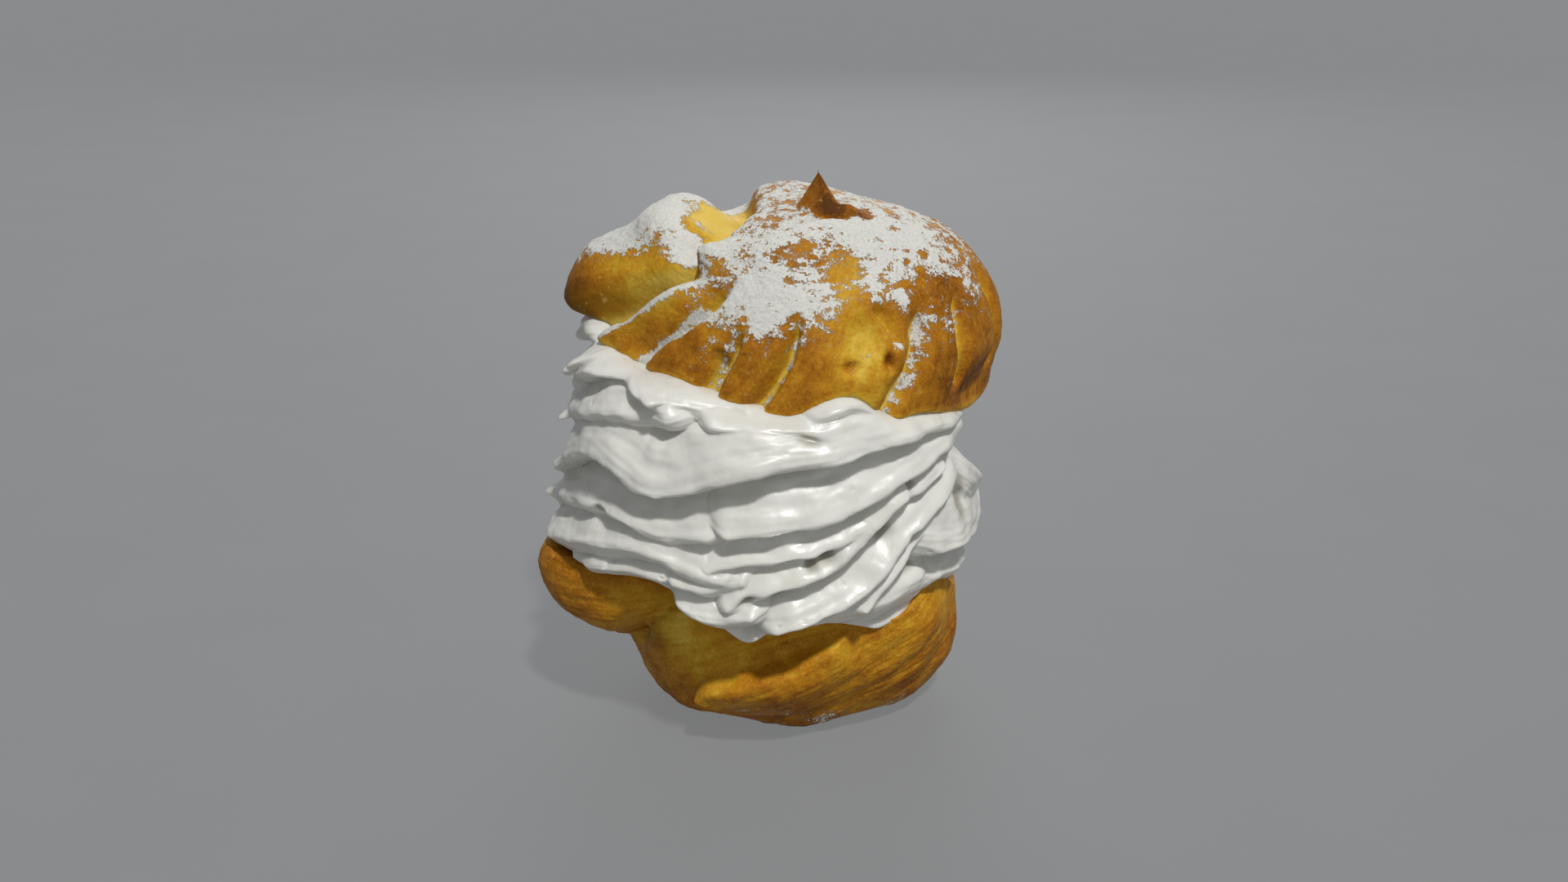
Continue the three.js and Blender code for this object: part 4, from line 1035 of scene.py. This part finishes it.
# ---------------- floor, light and camera (metres)
FLOOR_SIZE = 8.0
SKY_COLOUR, SKY_STRENGTH = (0.93, 0.96, 1.0, 1), 0.25
LAMP_TARGET = Vector((0, 0, 0.05))
CAMERA_TARGET, CAMERA_DISTANCE, CAMERA_ELEVATION = (2.6, 0.0, 49.3), 298.0, 20  # mm, mm, degrees
LENS, SENSOR = 36.0, 36.0

bpy.ops.mesh.primitive_plane_add(size=FLOOR_SIZE, location=(0, 0, 0))
floor = bpy.context.object
floor.name = "floor"
floor.data.materials.append(floor_material())

world = bpy.data.worlds.new("studio")
bpy.context.scene.world = world
world.use_nodes = True
sky = world.node_tree.nodes["Background"]
sky.inputs["Color"].default_value = SKY_COLOUR
sky.inputs["Strength"].default_value = SKY_STRENGTH


def facing(away):
    """Rotation of what looks back along a vector."""
    return (-away).to_track_quat("-Z", "Y").to_euler()


def lamp(name, kind, place, energy, colour, **more):
    light = bpy.data.lights.new(name, kind)
    light.energy, light.color = energy, colour
    for key, value in more.items():
        setattr(light, key, value)
    holder = bpy.data.objects.new(name, light)
    holder.location = place
    holder.rotation_euler = facing(Vector(place) - LAMP_TARGET)
    bpy.context.collection.objects.link(holder)


lamp("key", "SUN", place=(0.14, -0.384, 0.68), energy=2.6, colour=(1.0, 0.99, 0.97),
     angle=5 * RAD)
lamp("fill", "AREA", place=(0.20, -0.60, 0.16), energy=0.36, colour=(0.96, 0.98, 1.0),
     shape="DISK", size=0.4)
lamp("back", "AREA", place=(0.05, 0.80, 0.45), energy=2.6, colour=(0.97, 0.98, 1.0),
     shape="DISK", size=0.6)

elevation = CAMERA_ELEVATION * RAD
middle = Vector(CAMERA_TARGET) - Vector(FOOTPRINT_MIDDLE.tolist())
back = Vector((0.0, -math.cos(elevation), math.sin(elevation)))
lens = bpy.data.cameras.new("camera")
lens.lens, lens.sensor_width = LENS, SENSOR
camera = bpy.data.objects.new("camera", lens)
camera.location = (middle + back * CAMERA_DISTANCE) * MM
camera.rotation_euler = facing(back)
bpy.context.collection.objects.link(camera)
bpy.context.scene.camera = camera
bpy.context.scene.view_settings.view_transform = "Standard"

bpy.context.view_layer.update()
